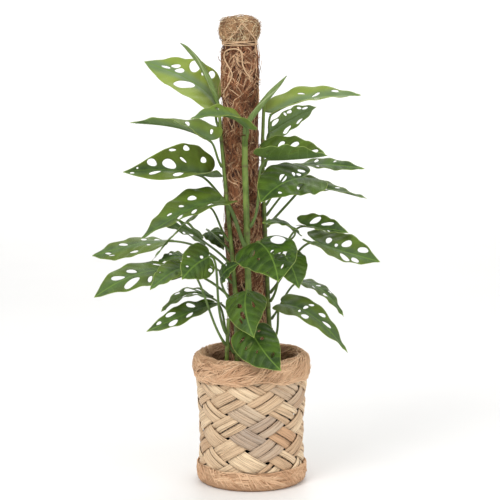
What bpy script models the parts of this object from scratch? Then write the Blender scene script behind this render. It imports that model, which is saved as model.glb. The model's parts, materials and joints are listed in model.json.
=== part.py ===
"""Swiss cheese vine on a coir pole, potted in a plaited basket: one object per piece.

Lengths are millimetres here and become metres when an object is made. +Z is up, the
origin is the middle of the basket's underside, and the front looks along -Y.
"""

import math
import random
from collections import namedtuple

import bpy
import numpy as np
from mathutils import Vector
from mathutils.geometry import delaunay_2d_cdt

MM = 0.001
SEAT_GAP = 0.35

# Basket
WEAVE_AROUND = 8
WEAVE_ROWS = 9
ROW_PITCH = 19.0
LOWEST_ROW_Z = 24.0
COLUMN_TURN = 360 / (2 * WEAVE_AROUND)
FIRST_COLUMN_DEG = 17.6
# The wall's middle surface as (height, radius): it flares under the rim
WALL_LINE = ((9, 77.6), (30, 78.2), (60, 77.2), (90, 77.4), (120, 79.4), (150, 81.7), (165, 81.9), (190, 81.2))
STRIP_OVER = 2.3
STRIP_UNDER = -0.5
STRIP_BACK = -2.3
STRIP_BULGE = 1.8
STRIP_MARGIN = (0.07, 0.15)
BAND_SIDES = 28
WALL_TOP = 190.0
WALL_FOOT = 9.0
RIM_PROFILE = (
    (87.6, 170), (89.3, 170.6), (91, 177), (91.2, 187), (88.6, 197), (81, 203),
    (74, 201), (70, 193), (69.9, 176), (72.4, 172),
    (72.7, WALL_TOP + SEAT_GAP), (87.3, WALL_TOP + SEAT_GAP),
)
FOOT_PROFILE = (
    (83.6, 30), (85.4, 28.6), (87, 21), (86.8, 12), (84.6, 4.5), (78.5, 0), (71.5, 0),
    (70.2, 2), (70.2, 14), (72.2, 14), (72.6, WALL_FOOT - SEAT_GAP), (83.4, WALL_FOOT - SEAT_GAP),
)
FLOOR_RADIUS = 69.8
FLOOR_THICK = 4.0

# Pot and soil
POT_SIDES = 24
POT_FLOOR_Z = 7.0
POT_PROFILE = (
    (56, 4.5), (66.4, 160), (68.6, 160.4), (68.6, 167), (64.6, 167), (64.4, 160), (54.2, POT_FLOOR_Z),
    (0, POT_FLOOR_Z), (0, 4.5),
)
ROOTED_Z = POT_FLOOR_Z + SEAT_GAP
SOIL_TOP = 155.0
SOIL_BOTTOM = ROOTED_Z
SOIL_TOP_RADIUS = 63.0
SOIL_FOOT_RADIUS = 53.4
SOIL_SIDES = 24
SOIL_ROUGH = 2.0

# Pole, twine and cane
POLE_AXIS = ((-1, 0, ROOTED_Z), (-3, 0, 200), (-10, 0, 323), (-17, 0, 516), (-18, 0, 684), (-18, 0, 718))
POLE_RINGS = (
    (ROOTED_Z, 25.5), (90, 26.5), (160, 27), (240, 27), (320, 27), (400, 27), (480, 27), (560, 27),
    (630, 27), (664, 27), (678, 25.4), (684, 25.4), (689, 29), (700, 30.5), (710, 28.5), (716, 22),
)
POLE_SIDES = 14
POLE_TOP = 718.0
POLE_ROUGH = 0.9
NECK_RADIUS = 27.1
NECK_Z = 681.0
NECK_POINTS = 15
NECK_LEAN = 1.2
TWINE_RADIUS = 1.1
TWINE_SIDES = 5
TWINE_PATH = (
    (-64, 604), (-44, 613), (-25, 629), (-26, 638), (-41, 649), (-53, 659), (-48, 667), (-32, 671),
    (-12, 672), (2, 669), (7, 661), (8, 650), (16, 639), (33, 628),
)
CANE_TOP = (16, 25, 431)
CANE_FOOT = (22, 26, ROOTED_Z)
CANE_RADIUS = 7.2

# Vines: name, points up the middle line, radius at the foot and at the top
Stem = namedtuple("Stem", "name path foot_radius top_radius knots")
STEMS = (
    Stem("stem_front", ((-2, -36, 96), (-2, -36, 170), (-2, -36, 200), (-4, -35, 291), (-6, -34.5, 345),
                        (-7, -34.5, 395), (-8, -35, 437), (-10, -35, 498), (-10, -36, 542)),
         5.4, 4.6, (236, 291, 345, 395, 437, 498)),
    Stem("stem_left", ((-22, -28, 96), (-22, -28, 170), (-22, -28, 200), (-25, -29, 301), (-30, -28, 364),
                       (-34.5, -26, 410), (-39, -23, 456), (-46, -16, 533), (-49, -11, 580)),
         4.2, 2.6, (200, 247, 301, 364, 410, 456, 533)),
    Stem("stem_right", ((31, 0, 96), (31, 0, 170), (30, 0, 200), (26, 3, 274), (24, 5, 329), (21, 7, 391),
                        (18, 8, 454), (17, 9, 531), (19, 9, 585)),
         4.2, 2.6, (200, 240, 274, 329, 391, 454, 531)),
    Stem("stem_low", ((-39, -28, 96), (-39, -28, 160), (-37.5, -37, 212), (-35, -42, 262)),
         3.6, 2.9, (180, 212)),
)
STEM_SIDES = 8
KNOT_SWELL = 1.13

# Leaves
BLADE_THICK = 0.9
STALK_SIDES = 6
STALK_RINGS = 4
AWAY_FROM_POLE = 0.8
HALF_OUTLINE = (
    (-0.09, 0.12), (-0.17, 0.29), (-0.19, 0.53), (-0.12, 0.79), (0.02, 0.95), (0.19, 1.0),
    (0.37, 0.93), (0.54, 0.77), (0.70, 0.55), (0.84, 0.29), (0.94, 0.10),
)
MIDRIB_STEPS = (0.10, 0.22, 0.34, 0.46, 0.58, 0.70, 0.82, 0.92)
LONG_OPENING = 18
SHORT_OPENING = 8
# A row's openings: hundredths along the midrib and across to one side, then length, width and lean
Leaf = namedtuple("Leaf", "name base tip up width arch fold curl twist sway"
                          " stem root_z stalk lobe openings")
LEAVES = [
    Leaf("leaf_01", (-56, 14, 590), (-165, 32, 649), (0.31, -0.57, 0.76), 90, 16, 4, -11, -28, 5,
         "left", 555, 1.7, 0.3, ((40, 34, 36, 16, 40), (19, -78, 15, 11, 80), (29, -55, 6, 4, -70),
            (42, -59, 21, 17, -85), (55, -16, 15, 8, 25), (62, -28, 15, 7, 25), (72, -9, 15, 4, 5))),
    Leaf("leaf_02", (-63, -34, 534), (-187, 10, 557), (0.13, -0.14, 0.98), 56, 7, 34, 11, 43, -9,
         "left", 494, 1.6, 0.3, ((22, 50, 16, 7, 50), (42, 48, 14, 6, 45), (6, -50, 12, 4, -60),
            (36, -50, 14, 6, -50), (56, -42, 10, 4, -45))),
    Leaf("leaf_03", (-8, -58, 556), (-91, -97, 573), (0.26, -0.14, 0.96), 54, 13, 24, 8, -21, 0,
         "front", 529, 2.2, 0.3, ((30, 50, 12, 5, 50), (52, -45, 8, 4, -45))),
    Leaf("leaf_04", (33, 12, 572), (170, 53, 596), (-0.09, -0.27, 0.96), 62, 11, 22, 7, 25, 0,
         "right", 519, 1.7, 0.3, ((36, 45, 11, 3, -25), (50, 18, 15, 4, 20), (72, 29, 13, 5, 10),
            (24, -50, 18, 7, -50), (46, -50, 14, 6, -50))),
    Leaf("leaf_05", (30, 36, 542), (102, 65, 577), (-0.53, 0.58, 0.62), 60, 1, -2, 3, -25, -3,
         "right", 491, 1.6, 0.3, ((33, 66, 18, 10, -25), (61, 46, 13, 5, -25), (10, -60, 18, 11, -70),
            (33, -64, 13, 3, 70), (42, -62, 12, 7, 55), (63, -45, 9, 4, 40), (75, -24, 11, 5, 20))),
    Leaf("leaf_06", (28, -24, 505), (114, -67, 515), (-0.14, -0.06, 0.99), 92, -2, 42, 5, -16, 4,
         "front", 404, 1.9, 1.1, ((13, 58, 15, 8, 65), (34, 55, 18, 8, 50), (70, 25, 15, 8, 20),
            (2, -50, 16, 4, -70), (51, -45, 24, 5, -25))),
    Leaf("leaf_07", (75, 44, 487), (177, 56, 481), (0.05, -0.25, 0.96), 40, 4, 10, 10, 50, 0,
         "right", 431, 1.5, 0.8, ((26, 50, 10, 5, 50), (54, 42, 7, 3, 45), (24, -50, 10, 4, -50))),
    Leaf("leaf_08", (79, -12, 476), (13, -91, 447), (0.13, -0.44, 0.89), 92, 4, 11, 20, 6, -7,
         "right", 398, 1.8, 1.3, ((27, 53, 24, 10, 20), (66, 30, 6, 6, -5), (-6, -30, 14, 7, -10),
            (4, -14, 8, 6, -5), (11, -22, 11, 5, 60), (32, -20, 20, 10, 30))),
    Leaf("leaf_09", (80, 34, 460), (179, 26, 438), (0.25, -0.28, 0.93), 48, 2, 14, 10, -30, 0,
         "right", 415, 1.6, 0.5, ((28, 50, 14, 6, 50), (52, 45, 10, 4, 45), (36, -50, 12, 5, -50))),
    Leaf("leaf_10", (65, -30, 397), (16, -66, 413), (0, -0.25, 0.95), 42, 8, 8, 20, 0, 0,
         "right", 351, 1.5, 0.7, ((30, 48, 10, 5, 50), (36, -48, 8, 4, -50))),
    Leaf("leaf_11", (84, 6, 398), (149, -14, 390), (-0.03, -0.45, 0.89), 47, -1, 32, 3, 23, 3,
         "right", 326, 1.6, 1.2, ((18, 50, 19, 8, 40), (47, 33, 20, 5, 10), (56, -43, 8, 3, -45))),
    Leaf("leaf_12", (102, -16, 375), (196, -36, 349), (0.18, -0.36, 0.91), 80, -1, 10, -6, 39, 0,
         "right", 295, 1.7, 1.2, ((13, 38, 14, 9, 90), (27, 20, 7, 5, -90), (41, 40, 18, 12, 55),
            (69, 30, 17, 10, -5), (47, -45, 22, 12, -45), (63, -36, 14, 11, -45))),
    Leaf("leaf_13", (11, -66, 384), (39, -162, 340), (-0.15, -0.45, 0.88), 101, 6, -7, 14, -2, 6,
         "front", 349, 2.2, 0.7, ((7, 55, 32, 22, -30), (38, 11, 11, 6, -25), (50, 33, 27, 20, 90),
            (73, 25, 13, 8, -40), (73, 8, 5, 3, -10), (20, -42, 21, 8, -30), (41, -37, 7, 4, 0),
            (77, -25, 8, 3, 25))),
    Leaf("leaf_14", (51, -34, 358), (72, -62, 312), (0.35, -0.8, 0.48), 62, 6, 4, 10, 0, 0,
         "right", 282, 1.6, 0.8, ((30, -50, 12, 5, -50),)),
    Leaf("leaf_15", (79, 22, 308), (143, 5, 256), (0.58, -0.21, 0.79), 45, 10, 6, 12, 15, 2,
         "right", 254, 1.5, 0.3, ((27, 29, 10, 5, 55), (50, 48, 8, 4, 45), (22, -50, 10, 4, -50),
            (49, -35, 11, 8, 65))),
    Leaf("leaf_16", (49, -14, 280), (147, -52, 211), (0.33, -0.54, 0.77), 56, 16, 11, 8, -11, 1,
         "right", 219, 1.7, 0.4, ((26, 22, 9, 5, 65), (29, 60, 9, 5, 40), (47, 45, 12, 6, 20),
            (59, 15, 17, 4, 5), (23, -22, 7, 4, -75), (34, -50, 13, 11, 55))),
    Leaf("leaf_17", (-80, -12, 479), (-192, -89, 493), (0.47, -0.57, 0.67), 90, 3, 45, -4, -60, -5,
         "left", 442, 1.8, 1.0, ((36, 46, 26, 12, 35), (61, 18, 24, 6, 15), (89, 8, 8, 3, -5),
            (-3, -55, 12, 10, 40), (23, -80, 13, 8, -10), (24, -40, 15, 4, -20), (41, -22, 27, 13, -20),
            (41, -73, 13, 4, -5), (65, -29, 22, 11, -30), (82, -12, 5, 3, -35))),
    Leaf("leaf_18", (-46, -50, 445), (-167, -111, 394), (-0.18, -0.39, 0.9), 81, 13, 17, 4, 6, 5,
         "front", 374, 2.8, 0.3, ((22, 52, 18, 8, 50), (40, 50, 16, 7, 45), (56, 42, 20, 8, 40),
            (27, -47, 15, 10, 0), (43, -30, 8, 4, -40), (59, -25, 9, 4, 0))),
    Leaf("leaf_19", (-70, -8, 428), (-153, -28, 348), (-0.74, 0.1, 0.66), 40, 6, 4, 22, 0, 0,
         "left", 381, 1.5, 0.6, ((28, 48, 10, 4, 50), (50, 45, 8, 4, 45), (38, -48, 10, 4, -50))),
    Leaf("leaf_20", (-134, 50, 368), (-254, 100, 336), (-0.3, -0.12, 0.95), 82, 6, -3, 13, -46, 5,
         "left", 331, 1.6, 0.3, ((18, 30, 11, 5, -55), (34, 58, 18, 5, -20), (67, 34, 14, 2, -20),
            (74, 14, 14, 4, -25), (14, -45, 20, 10, -60), (32, -50, 20, 9, -55), (56, -21, 23, 8, -30))),
    Leaf("leaf_21", (-108, -10, 332), (-238, -72, 300), (-0.13, -0.23, 0.96), 88, 11, 1, 9, -37, -11,
         "left", 288, 1.8, 0.3, ((12, 45, 14, 6, 55), (24, 23, 8, 6, 75), (38, 55, 16, 7, 50),
            (58, 35, 32, 14, 10), (20, -52, 16, 8, -50), (49, -25, 17, 9, -50), (65, -20, 21, 11, -25))),
    Leaf("leaf_22", (-102, -74, 346), (-151, -118, 320), (-0.2, -0.55, 0.81), 46, 6, 14, 10, 0, 0,
         "low", 222, 1.6, 0.7, ((34, 48, 10, 5, 50), (52, -42, 8, 4, -45))),
    Leaf("leaf_23", (-64, -66, 362), (-103, -131, 338), (0.67, -0.57, 0.47), 60, 1, -8, 18, 19, -4,
         "low", 240, 1.7, 0.5, ((0, 49, 8, 3, -30), (7, 67, 14, 6, -15), (19, -15, 7, 5, -5),
            (44, -55, 5, 3, -50), (65, -22, 5, 3, -35))),
    Leaf("leaf_24", (-46, -40, 326), (-16, -56, 352), (0.25, -0.6, 0.76), 32, 5, 6, 10, 0, 0,
         "left", 280, 1.6, 0.6, ((42, 45, 6, 3, 50),)),
    Leaf("leaf_25", (-107, 36, 345), (-147, 30, 337), (-0.05, -0.35, 0.93), 34, 4, 6, 10, 0, 0,
         "left", 316, 1.4, 0.6, ((42, -45, 6, 3, -50),)),
    Leaf("leaf_26", (-65, 54, 383), (-43, 40, 355), (0.1, -0.5, 0.85), 36, 5, 4, 10, 0, 0,
         "left", 365, 1.5, 0.2, ((42, 45, 6, 3, 50),)),
    Leaf("leaf_27", (-81, 26, 377), (-149, 46, 397), (0.1, 0.55, 0.83), 56, 6, 6, 10, 0, 0,
         "left", 344, 1.6, 0.7, ((26, 50, 14, 6, 50), (50, 45, 12, 5, 45), (24, -50, 12, 6, -50),
            (42, -65, 5, 6, -5))),
    Leaf("leaf_28", (-64, 18, 285), (-141, 21, 261), (-0.26, 0.4, 0.88), 63, 16, 4, 6, 9, 2,
         "left", 263, 1.6, 0.4, ((16, 52, 16, 7, 55), (33, 33, 20, 15, 35), (57, 42, 11, 5, 45),
            (28, -50, 16, 7, -50), (50, -45, 12, 5, -45))),
    Leaf("leaf_29", (-58, -8, 279), (-161, -42, 242), (-0.25, -0.26, 0.93), 57, 4, 5, -6, -44, 4,
         "left", 206, 1.7, 0.3, ((39, 29, 17, 8, 40), (63, 30, 17, 11, 25), (28, -55, 15, 10, -55),
            (60, -40, 17, 8, -5), (80, -17, 9, 5, 15))),
    Leaf("leaf_30", (-7, -68, 310), (4, -131, 250), (-0.14, -0.69, 0.71), 70, 9, -15, 19, -1, -6,
         "front", 281, 1.9, 0.3, ((10, 13, 5, 4, -10), (33, 35, 14, 5, 15), (5, -52, 10, 4, 50),
            (35, -27, 11, 7, 45), (55, -16, 15, 6, 15), (64, -30, 10, 3, 15))),
    Leaf("leaf_31", (-2, -80, 254), (44, -143, 203), (-0.11, -0.67, 0.73), 77, 1, -14, 14, 3, -4,
         "front", 240, 1.9, 0.5, ((7, 30, 6, 4, -35), (26, 25, 8, 6, -35), (65, 20, 14, 5, -45),
            (11, -47, 12, 4, -75), (27, -37, 16, 5, -75), (45, -22, 6, 3, -50))),
]

GREEN = ((0.075, 0.19, 0.035), 0.42, 0.0)
YOUNG_GREEN = ((0.16, 0.30, 0.06), 0.40, 0.0)
STEM_GREEN = ((0.17, 0.29, 0.07), 0.45, 0.0)
STRAW = ((0.52, 0.38, 0.22), 0.7, 0.0)
BAND_TAN = ((0.42, 0.26, 0.14), 0.85, 0.0)
COIR = ((0.17, 0.075, 0.04), 0.95, 0.0)
TWINE = ((0.55, 0.36, 0.20), 0.8, 0.0)
CANE_BROWN = ((0.22, 0.13, 0.07), 0.6, 0.0)
SOIL_DARK = ((0.035, 0.022, 0.015), 0.95, 0.0)
POT_BLACK = ((0.012, 0.012, 0.013), 0.5, 0.0)


def clear_scene():
    for obj in list(bpy.data.objects):
        bpy.data.objects.remove(obj)


def signed_volume(points, faces):
    """Six times the volume, positive when the faces look outwards."""
    total = 0.0
    for face in faces:
        first = points[face[0]]
        for k in range(1, len(face) - 1):
            total += np.dot(first, np.cross(points[face[k]], points[face[k + 1]]))
    return total


def add_piece(name, points, faces, finish):
    """One named object from points in millimetres, its faces turned outwards."""
    points = np.asarray(points, float)
    if signed_volume(points, faces) < 0:
        faces = [tuple(reversed(face)) for face in faces]
    mesh = bpy.data.meshes.new(name)
    mesh.from_pydata([tuple(p) for p in points * MM], [], [tuple(int(i) for i in f) for f in faces])
    mesh.validate()
    obj = bpy.data.objects.new(name, mesh)
    bpy.context.scene.collection.objects.link(obj)
    material = bpy.data.materials.new(name)
    material.use_nodes = True
    shader = material.node_tree.nodes["Principled BSDF"]
    shader.inputs["Base Color"].default_value = (*finish[0], 1.0)
    shader.inputs["Roughness"].default_value = finish[1]
    shader.inputs["Metallic"].default_value = finish[2]
    mesh.materials.append(material)
    return obj


def unit(vector):
    vector = np.asarray(vector, float)
    return vector / max(np.linalg.norm(vector), 1e-9)


def along(path, z):
    """The point of a path of rising points at the height z."""
    heights = [p[2] for p in path]
    return np.array([np.interp(z, heights, [p[k] for p in path]) for k in range(3)])


# Surfaces of revolution, tubes and closed bands


def revolved(profile, sides, centre=(0, 0)):
    """A closed profile of (radius, z) turned about the upright axis."""
    points, rings = [], []
    for radius, z in profile:
        if radius == 0:
            points.append((centre[0], centre[1], z))
            rings.append([len(points) - 1] * sides)
            continue
        ring = []
        for k in range(sides):
            turn = 2 * math.pi * k / sides
            points.append((centre[0] + radius * math.cos(turn), centre[1] + radius * math.sin(turn), z))
            ring.append(len(points) - 1)
        rings.append(ring)
    faces = []
    for lower, upper in zip(rings, rings[1:] + rings[:1]):
        for k in range(sides):
            after = (k + 1) % sides
            quad = (lower[k], lower[after], upper[after], upper[k])
            corners = tuple(dict.fromkeys(quad))
            if len(corners) > 2:
                faces.append(corners)
    return points, faces


def carried_frames(path, first_side):
    """A side and an over direction at each point of the path, carried along without twist."""
    path = [np.asarray(p, float) for p in path]
    side = unit(first_side)
    frames = []
    for k in range(len(path)):
        ahead = path[min(k + 1, len(path) - 1)] - path[max(k - 1, 0)]
        ahead = unit(ahead)
        side = unit(side - ahead * np.dot(side, ahead))
        frames.append((side, np.cross(ahead, side)))
    return frames


def tube(path, radii, sides, closed=False, first_side=(1, 0.1, 0)):
    """A round tube through the path, capped at both ends unless it closes on itself."""
    frames = carried_frames(path, first_side)
    points, faces = [], []
    for centre, radius, (side, over) in zip(path, radii, frames):
        for k in range(sides):
            turn = 2 * math.pi * k / sides
            points.append(np.asarray(centre) + radius * (math.cos(turn) * side + math.sin(turn) * over))
    count = len(path)
    for ring in range(count if closed else count - 1):
        after = (ring + 1) % count
        for k in range(sides):
            nxt = (k + 1) % sides
            faces.append((ring * sides + k, ring * sides + nxt, after * sides + nxt, after * sides + k))
    if not closed:
        faces.append(tuple(reversed(range(sides))))
        faces.append(tuple((count - 1) * sides + k for k in range(sides)))
    return points, faces


# Basket


def wall_point(turn_deg, z, offset):
    """A point of the wall: degrees from the front towards +X, a height, and outwards from the middle."""
    radius = np.interp(z, [p[0] for p in WALL_LINE], [p[1] for p in WALL_LINE]) + offset
    turn = math.radians(turn_deg)
    return (radius * math.sin(turn), -radius * math.cos(turn), z)


def lattice_point(a, b, offset):
    """A point of the diagonal lattice: a and b count the falling and the rising strips."""
    turn = FIRST_COLUMN_DEG + COLUMN_TURN * (a + b)
    z = LOWEST_ROW_Z + ROW_PITCH * (a - b)
    return wall_point(turn, min(max(z, WALL_FOOT), WALL_TOP), offset)


def strip_edges(rng):
    """Where each strip begins and ends inside its own pitch."""
    return [(rng.uniform(*STRIP_MARGIN), 1 - rng.uniform(*STRIP_MARGIN)) for _ in range(WEAVE_AROUND)]


class Plait:
    """The plaited wall: crossings of two strips, bridged by the strips between them."""

    def __init__(self, falling, rising):
        self.falling = falling
        self.rising = rising
        self.points = []
        self.faces = []
        self.keys = {}

    def corner(self, i, j, at_a, at_b, level):
        """The index of a point of the crossing (i, j); at_a and at_b are 0, 1 or 2 across it."""
        around = WEAVE_AROUND
        turns = j // around
        key = (i - turns * around, j - turns * around, at_a, at_b, level)
        if key not in self.keys:
            lo_a, hi_a = self.falling[i % around]
            lo_b, hi_b = self.rising[j % around]
            a = i - 0.5 + (lo_a, (lo_a + hi_a) / 2, hi_a)[at_a]
            b = j - 0.5 + (lo_b, (lo_b + hi_b) / 2, hi_b)[at_b]
            self.keys[key] = len(self.points)
            self.points.append(lattice_point(a, b, self.offset(level, at_a, at_b)))
        return self.keys[key]

    def offset(self, level, at_a, at_b):
        middle = (at_a == 1) + (at_b == 1)
        if level == "out":
            return STRIP_OVER + STRIP_BULGE * middle / 2
        return STRIP_UNDER if level == "mid" else STRIP_BACK

    def exists(self, i, j):
        return 0 <= i - j < WEAVE_ROWS

    def crossing(self, i, j):
        falls = (i + j) % 2 == 1
        out = [[self.corner(i, j, p, q, "out") for q in range(3)] for p in range(3)]
        for p in range(2):
            for q in range(2):
                self.faces.append((out[p][q], out[p][q + 1], out[p + 1][q + 1], out[p + 1][q]))
        back = [self.corner(i, j, p, q, "in") for p, q in ((0, 0), (2, 0), (2, 2), (0, 2))]
        middle = self.corner(i, j, 1, 1, "in")
        self.faces += [(back[k], back[(k + 1) % 4], middle) for k in range(4)]
        for along_a in (True, False):
            for high in (0, 2):
                self.side(i, j, along_a, high, over=along_a != falls)

    def edge(self, i, j, along_a, high, level, whole=True):
        """The points of one side, run so that the crossing lies on the same hand each time."""
        spots = [(high, q) if along_a else (q, high) for q in ((0, 1, 2) if whole else (0, 2))]
        if along_a == (high == 0):
            spots.reverse()
        return [self.corner(i, j, p, q, level) for p, q in spots]

    def side(self, i, j, along_a, high, over):
        """The step of one side, and the bridge to the next crossing or the cut end of the strip."""
        out = self.edge(i, j, along_a, high, "out")
        mid = self.edge(i, j, along_a, high, "mid", whole=not over)
        inner = self.edge(i, j, along_a, high, "in", whole=False)
        self.wall(*((mid, inner) if over else (out, mid)))
        ahead = 1 if high == 2 else -1
        other = (i + ahead, j) if along_a else (i, j + ahead)
        if not self.exists(*other):
            self.wall(*((out, mid) if over else (mid, inner)))
        elif over:
            far_top = self.edge(*other, along_a, 2 - high, "mid")[::-1]
            far_low = self.edge(*other, along_a, 2 - high, "in", whole=False)[::-1]
            self.bridge(out, mid, far_top, far_low)

    def wall(self, top, low):
        self.faces.append(tuple(top) + tuple(reversed(low)))

    def bridge(self, top, low, far_top, far_low):
        for k in range(2):
            self.faces.append((top[k], top[k + 1], far_top[k + 1], far_top[k]))
        self.faces.append((low[1], low[0], far_low[0], far_low[1]))
        self.faces.append((top[0], far_top[0], far_low[0], low[0]))
        self.faces.append((far_top[2], top[2], low[1], far_low[1]))


def build_wall():
    rng = random.Random(11)
    plait = Plait(strip_edges(rng), strip_edges(rng))
    for j in range(WEAVE_AROUND):
        for row in range(WEAVE_ROWS):
            plait.crossing(j + row, j)
    add_piece("basket_wall", plait.points, plait.faces, STRAW)


def build_basket():
    build_wall()
    add_piece("basket_rim", *revolved(RIM_PROFILE, BAND_SIDES), BAND_TAN)
    add_piece("basket_foot", *revolved(FOOT_PROFILE, BAND_SIDES), BAND_TAN)
    floor = ((0, 0), (FLOOR_RADIUS, 0), (FLOOR_RADIUS, FLOOR_THICK), (0, FLOOR_THICK))
    add_piece("basket_floor", *revolved(floor, BAND_SIDES), STRAW)


# Flat regions with holes, cut into triangles


def inside(point, polygon):
    """Whether a flat point lies inside a polygon."""
    x, y = point
    hit = False
    for (x0, y0), (x1, y1) in zip(polygon, polygon[1:] + polygon[:1]):
        if (y0 > y) != (y1 > y) and x < x0 + (y - y0) * (x1 - x0) / (y1 - y0):
            hit = not hit
    return hit


def cut_region(outline, holes, spine, loose):
    """Triangles of an outline with holes, with edges along the spine."""
    flat = [tuple(p) for p in outline]
    edges = [(k, (k + 1) % len(outline)) for k in range(len(outline))]
    for hole in holes:
        start = len(flat)
        flat += [tuple(p) for p in hole]
        edges += [(start + k, start + (k + 1) % len(hole)) for k in range(len(hole))]
    if spine:
        chain = [spine[0]] + list(range(len(flat), len(flat) + len(spine[2]))) + [spine[1]]
        flat += [tuple(p) for p in spine[2]]
        edges += list(zip(chain, chain[1:]))
    flat += [tuple(p) for p in loose]
    made = delaunay_2d_cdt([Vector(p) for p in flat], edges, [], 0, 1e-4)
    spots = [(v.x, v.y) for v in made[0]]
    triangles = []
    for a, b, c in made[2]:
        middle = tuple((spots[a][k] + spots[b][k] + spots[c][k]) / 3 for k in range(2))
        if inside(middle, outline) and not any(inside(middle, hole) for hole in holes):
            triangles.append((a, b, c))
    return spots, triangles


def open_edges(triangles):
    """Directed edges that belong to one triangle only."""
    found = set()
    for a, b, c in triangles:
        for edge in ((a, b), (b, c), (c, a)):
            if edge[::-1] in found:
                found.remove(edge[::-1])
            else:
                found.add(edge)
    return sorted(found)


# Soil


def round_hole(centre, radius, sides):
    turns = [2 * math.pi * k / sides for k in range(sides)]
    return [(centre[0] + radius * math.cos(t), centre[1] + radius * math.sin(t)) for t in turns]


def build_soil():
    rng = random.Random(5)
    holes = [round_hole(along(POLE_AXIS, 80), 28.6, POLE_SIDES)]
    for stem in STEMS:
        holes.append(round_hole(stem.path[0], stem.foot_radius + SEAT_GAP * 1.4, STEM_SIDES))
    cane = [(CANE_TOP[k] + CANE_FOOT[k] * 3) / 4 for k in range(2)]
    holes.append(round_hole(cane, CANE_RADIUS + 2.4, STEM_SIDES))
    outline = round_hole((0, 0), SOIL_FOOT_RADIUS, SOIL_SIDES)
    loose = [p for p in round_hole((0, 0), 48, 12) if not any(inside(p, hole) for hole in holes)]
    spots, triangles = cut_region(outline, holes, None, loose)
    points = []
    for x, y in spots:
        edge = math.hypot(x, y) > SOIL_FOOT_RADIUS - 1
        grow = SOIL_TOP_RADIUS / SOIL_FOOT_RADIUS if edge else 1.0
        drop = rng.uniform(0, 2) * SOIL_ROUGH
        points.append((x * grow, y * grow, SOIL_TOP - drop))
    points += [(x, y, SOIL_BOTTOM) for x, y in spots]
    faces = []
    count = len(spots)
    for a, b, c in triangles:
        faces += [(a, b, c), (c + count, b + count, a + count)]
    for a, b in open_edges(triangles):
        faces.append((b, a, a + count, b + count))
    add_piece("soil", points, faces, SOIL_DARK)


# Pole, twine and cane


def build_pole():
    rng = random.Random(3)
    points, faces = [], []
    for z, radius in POLE_RINGS:
        middle = along(POLE_AXIS, z)
        for k in range(POLE_SIDES):
            turn = 2 * math.pi * k / POLE_SIDES
            reach = radius - rng.uniform(0, POLE_ROUGH)
            points.append(middle + np.array((reach * math.cos(turn), reach * math.sin(turn), 0)))
    for ring in range(len(POLE_RINGS) - 1):
        for k in range(POLE_SIDES):
            nxt = (k + 1) % POLE_SIDES
            low, high = ring * POLE_SIDES, (ring + 1) * POLE_SIDES
            faces.append((low + k, low + nxt, high + nxt, high + k))
    points += [along(POLE_AXIS, POLE_RINGS[0][0]), along(POLE_AXIS, POLE_TOP)]
    last = (len(POLE_RINGS) - 1) * POLE_SIDES
    for k in range(POLE_SIDES):
        nxt = (k + 1) % POLE_SIDES
        faces.append((nxt, k, len(points) - 2))
        faces.append((last + k, last + nxt, len(points) - 1))
    add_piece("coir_pole", points, faces, COIR)


def pole_side(turn_deg, z, reach):
    turn = math.radians(turn_deg)
    return along(POLE_AXIS, z) + np.array((reach * math.sin(turn), -reach * math.cos(turn), 0))


def build_twine():
    turns = [360 / NECK_POINTS * k for k in range(NECK_POINTS)]
    ring = [pole_side(t, NECK_Z + NECK_LEAN * math.sin(math.radians(t)), NECK_RADIUS) for t in turns]
    add_piece("neck_tie", *tube(ring, [TWINE_RADIUS] * NECK_POINTS, TWINE_SIDES, closed=True), TWINE)
    reach = 27 + SEAT_GAP + TWINE_RADIUS
    path = [pole_side(turn, z, reach) for turn, z in TWINE_PATH]
    radii = [TWINE_RADIUS] * len(path)
    add_piece("twine_loop", *tube(path, radii, TWINE_SIDES, first_side=(0, 1, 0)), TWINE)


def build_cane():
    foot, top = np.array(CANE_FOOT, float), np.array(CANE_TOP, float)
    path = [foot + (top - foot) * k / 3 for k in range(4)]
    radii = [CANE_RADIUS * f for f in (0.9, 0.97, 0.96, 1.0)]
    add_piece("cane", *tube(path, radii, 10), CANE_BROWN)


# Vines


def stem_radius(stem, z):
    share = (z - stem.path[0][2]) / (stem.path[-1][2] - stem.path[0][2])
    return stem.foot_radius + (stem.top_radius - stem.foot_radius) * min(max(share, 0), 1)


def build_stem(stem):
    heights = sorted({p[2] for p in stem.path} | {z + d for z in stem.knots for d in (-7, 0, 7)})
    heights = [z for z in heights if stem.path[0][2] <= z <= stem.path[-1][2]]
    radii = [stem_radius(stem, z) * (KNOT_SWELL if z in stem.knots else 1.0) for z in heights]
    path = [along(stem.path, z) for z in heights]
    add_piece(stem.name, *tube(path, radii, STEM_SIDES, first_side=(1, 0, 0)), STEM_GREEN)


# Leaves


def half_width(leaf, u):
    """Half the blade's width at the share u of its length."""
    table = sorted(p for p in HALF_OUTLINE if p[0] >= 0.03) + [(1.0, 0.0)]
    return leaf.width / 2 * float(np.interp(u, [p[0] for p in table], [p[1] for p in table]))


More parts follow.
